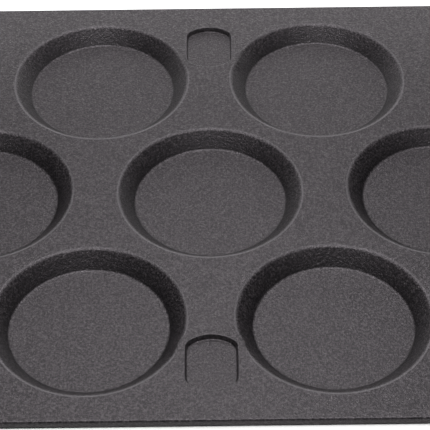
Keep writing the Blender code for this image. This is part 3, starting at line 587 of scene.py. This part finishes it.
def mark_wear_and_painted_light(mesh):
    """Stores on each point a colour mark: 1 on a lip, rubbed coating and a painted highlight; -1 on a wall,
    painted shade.

    Lips are paler on the side of the handles: rubbing where the cakes are levered out, and a painted highlight of
    the front lips.
    """
    wear = mesh.attributes.new("wear", "FLOAT", "POINT")
    for vertex, mark in zip(mesh.vertices, wear.data):
        x, y, z = vertex.co
        radius, well_y = min((math.hypot(x - well_x, y - well_y), well_y)
                             for well_x, well_y in WELLS)
        recess_y = math.copysign(RECESS_Y, y)
        edge = max(abs(x) - RECESS_HALF_W, math.hypot(x, y - recess_y) - RECESS_R)
        off_well, off_recess = abs(radius - LIP_WEAR_AND_HIGHLIGHT_R), abs(edge - RECESS_ROUND)
        middle_y = well_y if off_well < off_recess else recess_y
        # The lips are painted paler toward the front: a painted highlight as well as rubbing.
        toward_front = min(max((middle_y - y) / WELL_R, -1.0), 1.0)
        share = LIP_WEAR_AND_HIGHLIGHT_MEAN + LIP_WEAR_AND_HIGHLIGHT_SWING * toward_front
        off_lip = min(off_well, off_recess) / LIP_WEAR_AND_HIGHLIGHT_WIDTH
        lip = share * math.exp(-off_lip ** 2) if -MM < z < -TOLERANCE else 0.0
        # Painted shade down the walls, fading out below the lip and above the floor.
        deep = min(max((-z - WALL_SHADE_FROM) / WALL_SHADE_FADE, 0.0), 1.0)
        above_floor = min(max((z + WELL_DEPTH) / WALL_SHADE_FLOOR_FADE, 0.0), 1.0)
        mark.value = lip - deep * above_floor if radius < WELL_R else lip


def baking_plates():
    """Both cast plates: a cooking face and a back that follows it."""
    recess = sensor_recess()
    face = plate_sheet("face", 1, LIP_START_R, LIP_ROUND, FACE_EDGE, recess)
    back = plate_sheet("back", -1, BACK_START_R, BACK_ROUND, BACK_EDGE)
    bpy.data.objects.remove(recess)
    back.transform(Matrix.Translation((0, 0, -PLATE_T)))
    for word, body, matrix in (("lower", "base", LOWER), ("upper", "lid", UPPER)):
        bm = bmesh.new()
        bm.from_mesh(face)
        bm.from_mesh(back)
        mesh = from_bmesh(f"{word}_plate", bm, sharp=50)
        mark_wear_and_painted_light(mesh)
        finished(mesh, matrix, body, "non_stick_plate", f"{word}_baking_plate")


# ------------ outlines, bars and Booleans


def quarter(steps):
    return [math.pi / 2 * step / steps for step in range(steps + 1)]


def offset_outline(corners, inset, z, steps=10, fixed=()):
    """Points round a shape of square corners (x, y, radius), moved inwards by inset.

    Corners run anticlockwise. An edge in fixed, numbered by its first corner, stays in place.
    """
    points = []
    count = len(corners)
    for i, (x, y, radius) in enumerate(corners):
        before, after = corners[i - 1], corners[(i + 1) % count]
        arrive = Vector((x - before[0], y - before[1])).normalized()
        leave = Vector((after[0] - x, after[1] - y)).normalized()
        spot = Vector((x, y))
        if (i - 1) % count not in fixed:
            spot -= inset * Vector((arrive.y, -arrive.x))
        if i not in fixed:
            spot -= inset * Vector((leave.y, -leave.x))
        size = max(radius - arrive.cross(leave) * inset, 0.0) if radius else 0.0
        middle = spot + size * (leave - arrive)
        for angle in quarter(steps):
            spoke = math.sin(angle) * arrive - math.cos(angle) * leave
            points.append((*(middle + size * spoke), z))
    return points


def quarter_round(level, radius, steps, way=1):
    """(inset, z) of a rounded edge that starts at level and rises, or falls with way -1."""
    return [(radius * (1 - math.sin(a)), level + way * radius * (1 - math.cos(a)))
            for a in quarter(steps)]


def rounded_levels(low, high, low_round, high_round, steps=6):
    """(inset, z) from low to high with quarter rounds at both ends."""
    fall = quarter_round(high, high_round, steps, -1)
    return [*quarter_round(low, low_round, steps), *reversed(fall)]


def eased(points, per_span):
    """Points on a Catmull-Rom curve through (inset, z) guide points."""
    guides = [Vector(point) for point in points]
    padded = [2 * guides[0] - guides[1], *guides, 2 * guides[-1] - guides[-2]]
    route = []
    for a, b, c, d in zip(padded, padded[1:], padded[2:], padded[3:]):
        for step in range(per_span):
            t = step / per_span
            route.append((2 * b + (c - a) * t + (2 * a - 5 * b + 4 * c - d) * t**2
                          + (3 * b - a - 3 * c + d) * t**3) / 2)
    return [*route, guides[-1]]


def round_bar(name, profile, steps=32, place=(0, 0, 0), turn=None):
    """A turned mesh put at place, after the rotation turn."""
    mesh = from_bmesh(name, turned(profile, steps), 40)
    mesh.transform(Matrix.Translation(place) @ (turn or Matrix.Identity(4)))
    return mesh


def rod(radius, low, high, place, turn=None, steps=32):
    return round_bar("rod", [(0, low), (radius, low), (radius, high), (0, high)], steps, place,
                     turn)


def drilled(*sizes, **more):
    return "DIFFERENCE", rod(*sizes, **more)


def carved(mesh, *tools):
    """The mesh after a Boolean with each (operation, tool mesh). The mesh is used up."""
    host = linked(mesh.name, mesh)
    helpers = []
    for operation, tool in tools:
        helper = linked("tool", tool)
        boolean = host.modifiers.new("carve", "BOOLEAN")
        boolean.operation = operation
        boolean.solver = "EXACT"
        boolean.use_self = operation == "UNION"
        boolean.object = helper
        helpers.append(helper)
    graph = bpy.context.evaluated_depsgraph_get()
    result = bpy.data.meshes.new_from_object(host.evaluated_get(graph))
    for helper in [host, *helpers]:
        bpy.data.objects.remove(helper)
    name = mesh.name
    bpy.data.meshes.remove(mesh)
    result.name = name
    bm = bmesh.new()
    bm.from_mesh(result)
    bmesh.ops.remove_doubles(bm, verts=bm.verts, dist=SLIVER)
    bmesh.ops.dissolve_degenerate(bm, edges=bm.edges, dist=SLIVER)
    bm.to_mesh(result)
    bm.free()
    return smoothed(result)


def row_of(name, seed_mesh, slot, count, step):
    """The tree's own geometry repeated in a centred row by Geometry Nodes."""
    shape = Shape("row", {"Count": count, "Step X": step[0], "Step Y": step[1],
                          "Step Z": step[2]})
    steps = [shape.size("Step " + axis) for axis in "XYZ"]
    back = shape.math("MULTIPLY", shape.math("SUBTRACT", shape.size("Count"), 1.0), -0.5)
    start = shape.vector(*[shape.math("MULTIPLY", one, back) for one in steps])
    line = shape.line(shape.size("Count"), start, shape.vector(*steps))
    shape.finish(shape.copies(line, shape.entry.outputs[0]), FINISHES[slot])
    return smoothed(shape.grow(name, seed_mesh))


def four_of(name, seed_mesh, slot, half_x, half_y):
    """The tree's own geometry repeated at the corners of a rectangle by Geometry Nodes."""
    shape = Shape("four", {"Half X": half_x, "Half Y": half_y})
    grid = shape.add("GeometryNodeMeshGrid", Vertices_X=2, Vertices_Y=2,
                     Size_X=shape.math("MULTIPLY", shape.size("Half X"), 2.0),
                     Size_Y=shape.math("MULTIPLY", shape.size("Half Y"), 2.0)).outputs[0]
    shape.finish(shape.copies(grid, shape.entry.outputs[0]), FINISHES[slot])
    return smoothed(shape.grow(name, seed_mesh))


# ------------ sizes of the housings

HOUSING_X = HOUSING_HIGH.x
HOUSING_Y = (HOUSING_HIGH.y - HOUSING_LOW.y) / 2
HOUSING_CORNER = 30 * MM
WALL = 2.5 * MM
GAP = 0.3 * MM
BEVEL = 0.4 * MM
EDGE_ROUND = 2 * MM
FLANGE_TOP = -(PLATE_T + GAP)
FLANGE_LOW = FLANGE_TOP - WALL
OPENING_INSET = 21 * MM
OPENING_CORNER = 20 * MM
BASE_LOW = -56 * MM
FLARE = (0, -42 * MM, 8 * MM, 14 * MM)
FLARE_INSIDE = (2.6 * MM, -41 * MM, 7.6 * MM, 13.5 * MM)
COVER_Z = BASE_LOW + GAP
COVER_EDGE = 10.8 * MM
POST_X, POST_Y, POST_R = 126 * MM, 103.3 * MM, 4 * MM
LID_LOW = DECK_GAP - FLANGE_TOP
LID_SEAM = DECK_GAP - FLANGE_LOW + GAP
SHOULDER = [(0, 6.6), (0, 16), (0, 24), (0.5, 29), (2.2, 33.4), (6.5, 38.2), (14, 42),
            (28, 44.6), (60, 45.8)]
LAMP_X, LAMP_Y = 13 * MM, -78 * MM
LAMP_R = 4.5 * MM
LENS_LOW = 38.3 * MM
LENS_TOP = 45.7 * MM
INLET_Z = -30 * MM
INLET_R = 7.3 * MM
HEAD_R = 3.4 * MM
HEAD_RISE = 0.7 * MM
SHANK_R = 1.7 * MM
SHANK_END = 11 * MM
CROSS_HALF_L, CROSS_HALF_W = 2.0 * MM, 0.38 * MM
BORE_R = 3.7 * MM
PILOT_R = 2 * MM
PIN_BORE_R = 1.9 * MM
HANDLE_ROOT = -(HOUSING_Y + GAP)
HANDLE_HALF_W = 50 * MM
HANDLE_CORNER = 18 * MM
HANDLE_EDGE = 3 * MM
SEAM_EDGE = 0.5 * MM
BASE_HANDLE = (-24 * MM, -6 * MM, 35 * MM)
LID_HANDLE = (7 * MM, 15 * MM, 24 * MM, 43 * MM)
HANDLE_SCREW_X = 34 * MM
NOTCH_HALF_W = 14 * MM
PIVOT_Y = -(HOUSING_Y + 38 * MM)
BARREL_R = 5 * MM
LATCH_HALF_W = 13 * MM
LATCH_BACK = -(HOUSING_Y + 36.5 * MM)
LATCH_FRONT = -(HOUSING_Y + 41 * MM)
LATCH_TURN = math.radians(LATCH_JOINT["range_deg"][1])
HOOK_GAP = 0.6 * MM
HINGE_X = 95 * MM
LEAF_HALF_W = 15 * MM
LEAF_TOP, LEAF_END = 6.5 * MM, 26 * MM
LEAF_BACK, LEAF_FACE = -8.7 * MM, -6.2 * MM
KNUCKLE_R = 7 * MM
WEB_END = -21.6 * MM
HINGE_BORE_R = 4.3 * MM
STEPS = 14

# Turned profiles as (radius, z) in millimetres.
FOOT = [(0, 0.6), (5.4, 0.6), (6.0, 0.4), (6.3, 0), (8.4, 0), (8.9, 0.2), (9.1, 0.7),
        (9.5, 2.6), (9.4, 2.9), (9.1, 3.1), (9.1, 3.5), (9.5, 3.8), (10.3, 5.5),
        (10.2, 5.8), (9.8, 6.0), (0, 6.0)]
GROMMET = [(3.8, -6.6), (4.2, -7.0), (6.6, -7.0), (7.0, -6.6), (7.0, 0.3), (9.5, 0.3),
           (10.0, 0.7), (10.0, 1.2), (9.7, 1.4), (9.7, 1.7), (9.9, 1.9), (9.6, 2.5),
           (8.8, 2.95), (7.6, 3.0), (5.2, 3.0), (4.2, 2.7), (3.8, 2.1), (3.8, -6.6)]
RIB = [(0, -9.0), (0.45, -8.95), (0.8, -8.6), (0.9, -8.1), (0.9, 8.1), (0.8, 8.6),
       (0.45, 8.95), (0, 9.0)]
HINGE_PIN = [(0, -16.0), (2.6, -15.8), (3.6, -15.2), (4.0, -14.4), (4.0, 14.4), (3.6, 15.2),
             (2.6, 15.8), (0, 16.0)]

# Lid pieces are written shut, over the lower deck, and the latch hooked.
OPENED = OPEN_LID @ LOWER
PIVOT = Matrix.Translation((0, PIVOT_Y, LID_HANDLE[1]))
UNHOOKED = OPENED @ PIVOT @ Matrix.Rotation(-LATCH_TURN, 4, "X") @ PIVOT.inverted()


def housing_ring(inset, z, radius=None):
    corner = max(HOUSING_CORNER - inset, OPENING_CORNER) if radius is None else radius
    return rounded_outline(HOUSING_X - inset, HOUSING_Y - inset, corner, z, STEPS)


def opening_edge(high, low):
    """Rings down the edge of the opening for the plate, with small bevels."""
    rings = []
    for inset, z in ((-BEVEL, high), (0, high - BEVEL), (0, low + BEVEL), (-BEVEL, low)):
        rings.append(housing_ring(OPENING_INSET + inset, z, OPENING_CORNER - inset))
    return rings


def tub_edge(inset, top, wide, tall):
    """(inset, z) down the lower edge of a tub, which curves in by wide over tall."""
    angles = [math.radians(degrees) for degrees in range(0, 79, 6)]
    return [(inset + wide * (1 - math.cos(a)), top - tall * math.sin(a)) for a in angles]


def corner_places(half_x, half_y):
    return [(x * half_x, y * half_y) for x in (-1, 1) for y in (-1, 1)]


# ------------ screws and feet


def screw(head_t):
    """A pan head with a cross recess, its face at z 0, and the shank above it."""
    profile = [(0, 0), (HEAD_R * 0.55, 0.05 * MM), (HEAD_R * 0.86, 0.28 * MM),
               (HEAD_R, HEAD_RISE), (HEAD_R, head_t), (SHANK_R, head_t), (SHANK_R, SHANK_END),
               (0, SHANK_END + MM)]
    slots = []
    for half_x, half_y in ((CROSS_HALF_L, CROSS_HALF_W), (CROSS_HALF_W, CROSS_HALF_L)):
        rings = [rounded_outline(half_x * share, half_y * share, 0.1 * MM * share, z, 3)
                 for share, z in ((1.15, -0.4 * MM), (0.75, 0.95 * MM))]
        slots.append(("DIFFERENCE", from_bmesh("slot", lofted(rings, True, True))))
    return carved(round_bar("screw", profile), *slots)


def four_screws(name, head_t, z, body, matrix, replaced):
    mesh = four_of(name, screw(head_t), "screw_steel", POST_X, POST_Y)
    finished(mesh, matrix @ Matrix.Translation((0, 0, z)), body, "screw_steel",
             *[f"{replaced}_{i}" for i in range(1, 5)])


def counterbore(x, y, z, ledge):
    profile = [(0, -MM), (BORE_R, -MM), (BORE_R, ledge), (PILOT_R, ledge), (PILOT_R, 12 * MM),
               (0, 12 * MM)]
    return "DIFFERENCE", round_bar("counterbore", profile, 32, (x, y, z))


def feet():
    foot = round_bar("rubber_foot", in_mm(FOOT), 40)
    low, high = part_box("foot_front_left")
    half_x = -(low.x + high.x) / 2
    half_y = MIDDLE_Y - (low.y + high.y) / 2
    mesh = four_of("rubber_feet", foot, "rubber_foot", half_x, half_y)
    finished(mesh, Matrix.Translation((0, MIDDLE_Y, 0)), "base", "rubber_foot",
             "foot_front_left", "foot_front_right", "foot_rear_right", "foot_rear_left")


# ------------ base


def base_housing():
    """White tub with a soft lower edge, the flange that carries the plate, and screw posts."""
    section = [(10.2 * MM, BASE_LOW), (8.6 * MM, BASE_LOW), *reversed(tub_edge(*FLARE)),
               *reversed(quarter_round(FLANGE_TOP, EDGE_ROUND, 6, -1))]
    inside = [(4 * MM, FLANGE_LOW), (2.9 * MM, FLANGE_LOW - BEVEL),
              (2.5 * MM, FLANGE_LOW - 1.5 * MM), *tub_edge(*FLARE_INSIDE)]
    rings = [housing_ring(*level) for level in section]
    rings += opening_edge(FLANGE_TOP, FLANGE_LOW)
    rings += [housing_ring(*level) for level in inside]
    shell = from_bmesh("base_shell", lofted(rings, closed=True))
    tools = [drilled(INLET_R, -8 * MM, 8 * MM, (0, HOUSING_Y, INLET_Z), turn=REARWARD)]
    for x, y in corner_places(POST_X, POST_Y):
        tools.append(("UNION", rod(POST_R, -52.9 * MM, FLANGE_LOW + MM, (x, y, 0))))
        tools.append(drilled(PILOT_R, -54 * MM, -40 * MM, (x, y, 0), steps=16))
    finished(carved(shell, *tools), LOWER, "base", "white_housing", "base_housing")


def vent_tree():
    """A sheet inside the tree's own outline, with two rows of slots in it, made thick."""
    shape = Shape("vented_cover", {
        "Slots": 7, "Slot Pitch": 16 * MM, "Slot Width": 6 * MM, "Slot Length": 36 * MM,
        "Row Middle": 45 * MM, "Thickness": WALL,
    })
    width = shape.size("Slot Width")
    slot = shape.add("GeometryNodeCurvePrimitiveQuadrilateral", Width=width,
                     Height=shape.size("Slot Length")).outputs[0]
    slot = shape.add("GeometryNodeFilletCurve", {"mode": "POLY"}, Curve=slot, Count=8,
                     Radius=shape.math("MULTIPLY", width, 0.48)).outputs[0]
    pitch = shape.size("Slot Pitch")
    first = shape.math("MULTIPLY", shape.math("SUBTRACT", shape.size("Slots"), 1.0),
                       shape.math("MULTIPLY", pitch, -0.5))
    rows = []
    for side in (-1.0, 1.0):
        start = shape.vector(first, shape.math("MULTIPLY", shape.size("Row Middle"), side))
        rows.append(shape.line(shape.size("Slots"), start, shape.vector(pitch)))
    slots = shape.realized(shape.copies(shape.join(*rows), slot))
    edge = shape.add("GeometryNodeMeshToCurve", Mesh=shape.entry.outputs[0]).outputs[0]
    flat = shape.add("GeometryNodeFillCurve", Curve=shape.join(edge, slots)).outputs[0]
    raised = shape.add("GeometryNodeExtrudeMesh", Mesh=flat, Individual=False,
                       Offset_Scale=shape.size("Thickness")).outputs[0]
    under = shape.add("GeometryNodeFlipFaces", Mesh=flat).outputs[0]
    shape.finish(shape.merged(TOLERANCE, raised, under), FINISHES["white_housing"])
    return shape


def base_cover():
    """Vented cover under the base, held by four screws."""
    outline = bpy.data.meshes.new("cover_outline")
    points = housing_ring(COVER_EDGE, 0)
    outline.from_pydata(points, [(i, (i + 1) % len(points)) for i in range(len(points))], [])
    bm = bmesh.new()
    bm.from_mesh(vent_tree().grow("cover_sheet", outline))
    sheet = from_bmesh("bottom_cover", bm)
    sheet.transform(Matrix.Translation((0, 0, COVER_Z)))
    bores = [counterbore(x, y, COVER_Z, 1.6 * MM) for x, y in corner_places(POST_X, POST_Y)]
    finished(carved(sheet, *bores), LOWER, "base", "white_housing", "base_bottom_cover")
    four_screws("cover_screws", 1.3 * MM, COVER_Z + 0.1 * MM, "base", LOWER, "cover_screw")


def cord_inlet():
    """Flanged grommet in the rear wall, with a soft outer edge and a grip groove."""
    bush = round_bar("cord_grommet", in_mm(GROMMET), 48, (0, HOUSING_Y, INLET_Z), REARWARD)
    finished(bush, LOWER, "base", "grey_plastic", "cord_inlet_bush")


# ------------ handles and latch


def blade(name, corners, root_edge, levels, tools=()):
    """A handle blade that stands out from a front wall, with soft edges."""
    rings = [offset_outline(corners, inset, z, fixed=(root_edge,)) for inset, z in levels]
    mesh = from_bmesh(name, lofted(rings, True, True))
    return carved(mesh, *tools) if tools else mesh


def base_handle():
    low, high, reach = BASE_HANDLE
    front, half = HANDLE_ROOT - reach, HANDLE_HALF_W
    corners = [(-half, front, HANDLE_CORNER), (half, front, HANDLE_CORNER),
               (half, HANDLE_ROOT, 0), (-half, HANDLE_ROOT, 0)]
    mesh = blade("lower_handle", corners, 2,
                 rounded_levels(low, high, HANDLE_EDGE, HANDLE_EDGE))
    finished(mesh, LOWER, "base", "white_housing", "base_handle")


def lid_handle():
    """Two half shells screwed together round the latch's pin, with a notch for the latch."""
    low, middle, high, reach = LID_HANDLE
    front, half, notch = HANDLE_ROOT - reach, HANDLE_HALF_W, NOTCH_HALF_W
    notch_back = PIVOT_Y + 7 * MM
    corners = [(-half, front, HANDLE_CORNER), (-notch, front, 2 * MM), (-notch, notch_back, MM),
               (notch, notch_back, MM), (notch, front, 2 * MM), (half, front, HANDLE_CORNER),
               (half, HANDLE_ROOT, 0), (-half, HANDLE_ROOT, 0)]
    screw_y = PIVOT_Y + 14 * MM
    halves = (("lower", low, middle - GAP / 2, HANDLE_EDGE, SEAM_EDGE),
              ("upper", middle + GAP / 2, high, SEAM_EDGE, HANDLE_EDGE))
    for word, *levels in halves:
        tools = [drilled(PIN_BORE_R, -19.3 * MM, 19.3 * MM, (0, PIVOT_Y, middle), turn=ACROSS)]
        for side in (-1, 1):
            tools.append(counterbore(side * HANDLE_SCREW_X, screw_y, low, 2 * MM))
        mesh = blade(f"lid_handle_{word}_half", corners, 6, rounded_levels(*levels), tools)
        finished(mesh, OPENED, "lid", "white_housing", f"handle_{word}_half")
    pair = row_of("handle_screws", screw(1.6 * MM), "screw_steel", 2,
                  (2 * HANDLE_SCREW_X, 0.0, 0.0))
    finished(pair, OPENED @ Matrix.Translation((0, screw_y, low + 0.1 * MM)), "lid",
             "screw_steel", "handle_screw_1", "handle_screw_2")


def latch_outline(inset, x, steps=8):
    """Side view of the latch as (y, z): a barrel, a straight arm, a hook and a thumb tab."""
    back, front = LATCH_BACK, LATCH_FRONT
    hook_top = BASE_HANDLE[0] - HOOK_GAP
    hook_low, hook_end = hook_top - 4 * MM, back + 7.5 * MM
    tab_top, tab_end = hook_low + 3 * MM, front - 5 * MM
    corners = [(front, tab_top, 2 * MM), (tab_end, tab_top, 1.2 * MM),
               (tab_end, hook_low, 1.2 * MM), (hook_end, hook_low, 1.6 * MM),
               (hook_end, hook_top, MM), (back, hook_top, 1.2 * MM),
               (back, BARREL_R, 0), (front, BARREL_R, 0)]
    low_part = offset_outline(corners, inset, 0, steps)[:6 * (steps + 1)]
    radius = BARREL_R - inset
    start = -math.degrees(math.acos((back - inset - PIVOT_Y) / radius))
    end = 360 - math.degrees(math.acos((front + inset - PIVOT_Y) / radius))
    barrel = arc((PIVOT_Y, LID_HANDLE[1]), radius, start, end, 32)
    return [(x, y, z) for y, z in [point[:2] for point in low_part] + barrel]


def latch():
    """Grey hook on a pin in the lid's handle, with six grip ribs on its front."""
    rings = [latch_outline(*level)
             for level in rounded_levels(-LATCH_HALF_W, LATCH_HALF_W, 0.9 * MM, 0.9 * MM, 4)]
    body = from_bmesh("front_latch", lofted(rings, True, True))
    rib = round_bar("rib", in_mm(RIB), 20, (0, 0, 0), ACROSS)
    ribs = row_of("ribs", rib, "grey_plastic", 6, (0.0, 0.0, 3.2 * MM))
    ribs.transform(Matrix.Translation((0, LATCH_FRONT, -14 * MM)))
    bore = drilled(PIN_BORE_R, -20 * MM, 20 * MM, (0, PIVOT_Y, LID_HANDLE[1]), turn=ACROSS)
    finished(carved(body, ("UNION", ribs), bore), UNHOOKED, "latch", "grey_plastic", "latch")


# ------------ lid


def lid_frame():
    """Ring that the upper plate bears on. It closes the lid's open side."""
    foot, top = LID_LOW, LID_SEAM - GAP
    rings = [housing_ring(*level) for level in quarter_round(foot, EDGE_ROUND, 6)]
    rings += [housing_ring(0, top - 0.2 * MM), housing_ring(0.2 * MM, top)]
    rings += opening_edge(top, foot)
    ring = from_bmesh("lid_ring", lofted(rings, closed=True))
    bores = [counterbore(x, y, foot, 1.5 * MM) for x, y in corner_places(POST_X, POST_Y)]
    finished(carved(ring, *bores), OPENED, "lid", "white_housing", "lid_frame")
    four_screws("frame_screws", 1.2 * MM, foot + 0.1 * MM, "lid", OPENED, "lid_frame_screw")


def lid_cover():
    """Domed outer shell of the lid, with a soft shoulder, screw posts and two lamp holes."""
    curve = [Vector(point) * MM for point in eased(SHOULDER, 5)]
    inner = [housing_ring(inset + WALL, max(z - WALL, LID_SEAM + 0.6 * MM), HOUSING_CORNER - WALL)
             for inset, z in reversed(curve[3:])]
    inner += [housing_ring(WALL, LID_SEAM + 0.3 * MM, HOUSING_CORNER - WALL),
              housing_ring(WALL - 0.3 * MM, LID_SEAM, HOUSING_CORNER - WALL),
              housing_ring(BEVEL, LID_SEAM, HOUSING_CORNER)]
    outer = [housing_ring(0, LID_SEAM + BEVEL, HOUSING_CORNER)]
    outer += [housing_ring(inset, z, HOUSING_CORNER) for inset, z in curve[1:]]
    shell = from_bmesh("lid_dome", lofted(inner + outer, True, True))
    tools = []
    for x, y in corner_places(POST_X, POST_Y):
        tools.append(("UNION", rod(POST_R, LID_SEAM, 39.6 * MM, (x, y, 0))))
        tools.append(drilled(PILOT_R, 5 * MM, 19 * MM, (x, y, 0), steps=16))
    for side in (-1, 1):
        tools.append(drilled(LAMP_R + GAP, 36 * MM, 50 * MM, (side * LAMP_X, LAMP_Y, 0)))
    finished(carved(shell, *tools), OPENED, "lid", "white_housing", "lid_cover")


def lamps():
    """Two lenses with domed faces in the lid's top."""
    dome = [(LAMP_R * math.cos(a), LENS_TOP + MM * math.sin(a)) for a in quarter(8)]
    profile = [(0, LENS_LOW), (LAMP_R - GAP, LENS_LOW), (LAMP_R, LENS_LOW + GAP), *dome]
    for word, side, slot in (("power", -1, "red_lens"), ("ready", 1, "green_lens")):
        lens = round_bar(f"{word}_lens", profile, 48, (side * LAMP_X, LAMP_Y, 0))
        finished(lens, OPENED, "lid", slot, f"{word}_light_lens")


# ------------ hinges


def ear(low_x, high_x):
    """A knuckle with a web that runs tangent from it down to the leaf."""
    rings = []
    for inset, x in rounded_levels(low_x, high_x, 0.5 * MM, 0.5 * MM, 3):
        round_part = arc((0, 0), KNUCKLE_R - inset, -35, 180, 30)
        rings.append([(x, y, z) for y, z in
                      [(inset - KNUCKLE_R, inset + WEB_END), *round_part]])
    return from_bmesh("ear", lofted(rings, True, True))


def hinge_leaf(name, spans):
    """A leaf below the hinge's axis, with its ears and the pin's bore."""
    corner = 3 * MM
    plate = [(-LEAF_HALF_W, LEAF_TOP, corner), (LEAF_HALF_W, LEAF_TOP, corner),
             (LEAF_HALF_W, LEAF_END, corner), (-LEAF_HALF_W, LEAF_END, corner)]
    rings = [[(x, z, -y) for x, y, z in offset_outline(plate, inset, depth, 8)]
             for inset, depth in rounded_levels(LEAF_BACK, LEAF_FACE, 0.3 * MM, 0.5 * MM, 3)]
    leaf = from_bmesh(name, lofted(rings, True, True))
    tools = [("UNION", ear(*span)) for span in spans]
    return carved(leaf, *tools, drilled(HINGE_BORE_R, -20 * MM, 20 * MM, (0, 0, 0), turn=ACROSS))


def hinges():
    """Both hinges: a leaf with two ears on the base, one with a single ear on the lid."""
    spans_of = {"base": [(-15 * MM, -7 * MM), (7 * MM, 15 * MM)], "lid": [(-6.7 * MM, 6.7 * MM)]}
    for word, side in (("left", -1), ("right", 1)):
        place = Matrix.Translation((side * HINGE_X, HINGE_POINT.y, HINGE_POINT.z))
        for body, spans in spans_of.items():
            mesh = hinge_leaf(f"{body}_leaf_{word}", spans)
            if body == "lid":
                mesh.transform(Matrix.Diagonal((1, 1, -1, 1)))
                mesh.flip_normals()
                place = OPEN_LID @ place
            finished(mesh, place, body, "hinge_steel", f"{body}_hinge_{word}")
    pin = round_bar("pin", in_mm(HINGE_PIN), 32, (0, 0, 0), ACROSS)
    pins = row_of("hinge_pins", pin, "screw_steel", 2, (2 * HINGE_X, 0.0, 0.0))
    finished(pins, Matrix.Translation((0, HINGE_POINT.y, HINGE_POINT.z)), "base",
             "screw_steel", "hinge_pin_left", "hinge_pin_right")


def finish_kept_nodes():
    """Gives every CAD node that is still shown the finish of its slot."""
    for part in frame["record"]["subparts"]:
        node = frame["nodes"][part["node"]]
        node.data.materials.clear()
        node.data.materials.append(FINISHES[part["material_slot"]])


baking_plates()
feet()
base_housing()
base_cover()
cord_inlet()
base_handle()
lid_frame()
lid_cover()
lamps()
lid_handle()
latch()
hinges()
finish_kept_nodes()


# ------------ floor, light and camera

CAMERA_TILT = math.radians(45.249)
CAMERA_YAW = math.radians(0.0869)
CAMERA_ROLL = math.radians(-0.7494)
CAMERA_AIM = Vector((0.0496, -0.3832, 0)) * WELL_R
CAMERA_DISTANCE = 18.6958 * WELL_R
FOCAL_SHARE = 4.0686977
SENSOR = 36.0
WORLD = 0.06
BACKDROP = 0.85
WORLD_TONE = (0.95, 0.96, 1.0, 1.0)
FLOOR_TONE = (0.72, 0.72, 0.72)
FORWARD = Vector((0, -1, 0))

# Name, place from the middle of the lower deck, what it looks at, size and watts.
PANEL = Vector((0, 0.2, 0.27))
LOW_PANEL = Vector((0, 0.134, 0.03))
LIGHTS = (
    ("top_light", Vector((0, -0.12, 1.2)), Vector((0, 0, 0)), (0.5, 0.5), 16.5),
    ("rear_light", Vector((0, 0.31, 1.16)), Vector((0, 0, 0)), (0.5, 0.22), 2.4),
    ("panel_light", PANEL, PANEL + FORWARD, (0.27, 0.14), 1.15),
    ("low_panel_light", LOW_PANEL, LOW_PANEL + FORWARD, (0.27, 0.05), 0.065),
)
BACK_FILL = ("back_fill", Vector((0, 2.0, 1.3)), Vector((0, 0.6, 0)), (1.6, 0.8), 9)


def camera():
    """Long lens from the front and above, with a small roll."""
    back = Vector((math.sin(CAMERA_YAW) * math.cos(CAMERA_TILT),
                   -math.cos(CAMERA_YAW) * math.cos(CAMERA_TILT), math.sin(CAMERA_TILT)))
    right = (-back).cross(Vector((0, 0, 1))).normalized()
    up = right.cross(-back)
    turned_right = math.cos(CAMERA_ROLL) * right + math.sin(CAMERA_ROLL) * up
    turned_up = math.cos(CAMERA_ROLL) * up - math.sin(CAMERA_ROLL) * right
    lens = bpy.data.cameras.new("camera")
    lens.sensor_width = SENSOR
    lens.lens = SENSOR * FOCAL_SHARE
    lens.clip_start = 0.01
    lens.clip_end = 50
    seer = linked("camera", lens)
    axes = Matrix((turned_right, turned_up, back)).transposed().to_4x4()
    seer.matrix_world = Matrix.Translation(LOWER @ CAMERA_AIM + back * CAMERA_DISTANCE) @ axes
    bpy.context.scene.camera = seer


def softbox(name, place, aim, size, watts):
    light = bpy.data.lights.new(name, "AREA")
    light.shape = "RECTANGLE"
    light.size, light.size_y = size
    light.energy = watts
    lamp = linked(name, light)
    lamp.location = place
    lamp.rotation_euler = (aim - place).to_track_quat("-Z", "Y").to_euler()
    lamp.visible_camera = False


def studio():
    """Pale floor, dim world with a bright backdrop, and the softboxes."""
    floor = bpy.data.meshes.new("studio_floor")
    bm = bmesh.new()
    bmesh.ops.create_grid(bm, x_segments=1, y_segments=1, size=4.0)
    bm.to_mesh(floor)
    bm.free()
    paint = Paint("studio_floor", FLOOR_TONE, 0.6)
    paint.rough(paint.ramp(paint.noise(6), 0.3, 0.7, 0.55, 0.65))
    floor.materials.append(paint.material)
    linked("studio_floor", floor)
    world = bpy.data.worlds.new("studio")
    world.use_nodes = True
    background = world.node_tree.nodes["Background"]
    background.inputs["Color"].default_value = WORLD_TONE
    tree = Nodes(world.node_tree)
    seen = tree.add("ShaderNodeLightPath").outputs["Is Camera Ray"]
    strength = tree.math("MULTIPLY_ADD", seen, BACKDROP - WORLD, WORLD)
    tree.feed(background.inputs["Strength"], strength)
    bpy.context.scene.world = world
    for name, place, aim, size, watts in LIGHTS:
        softbox(name, LOWER @ place, LOWER @ aim, size, watts)
    softbox(*BACK_FILL)
    bpy.context.scene.view_settings.view_transform = "Standard"


studio()
camera()
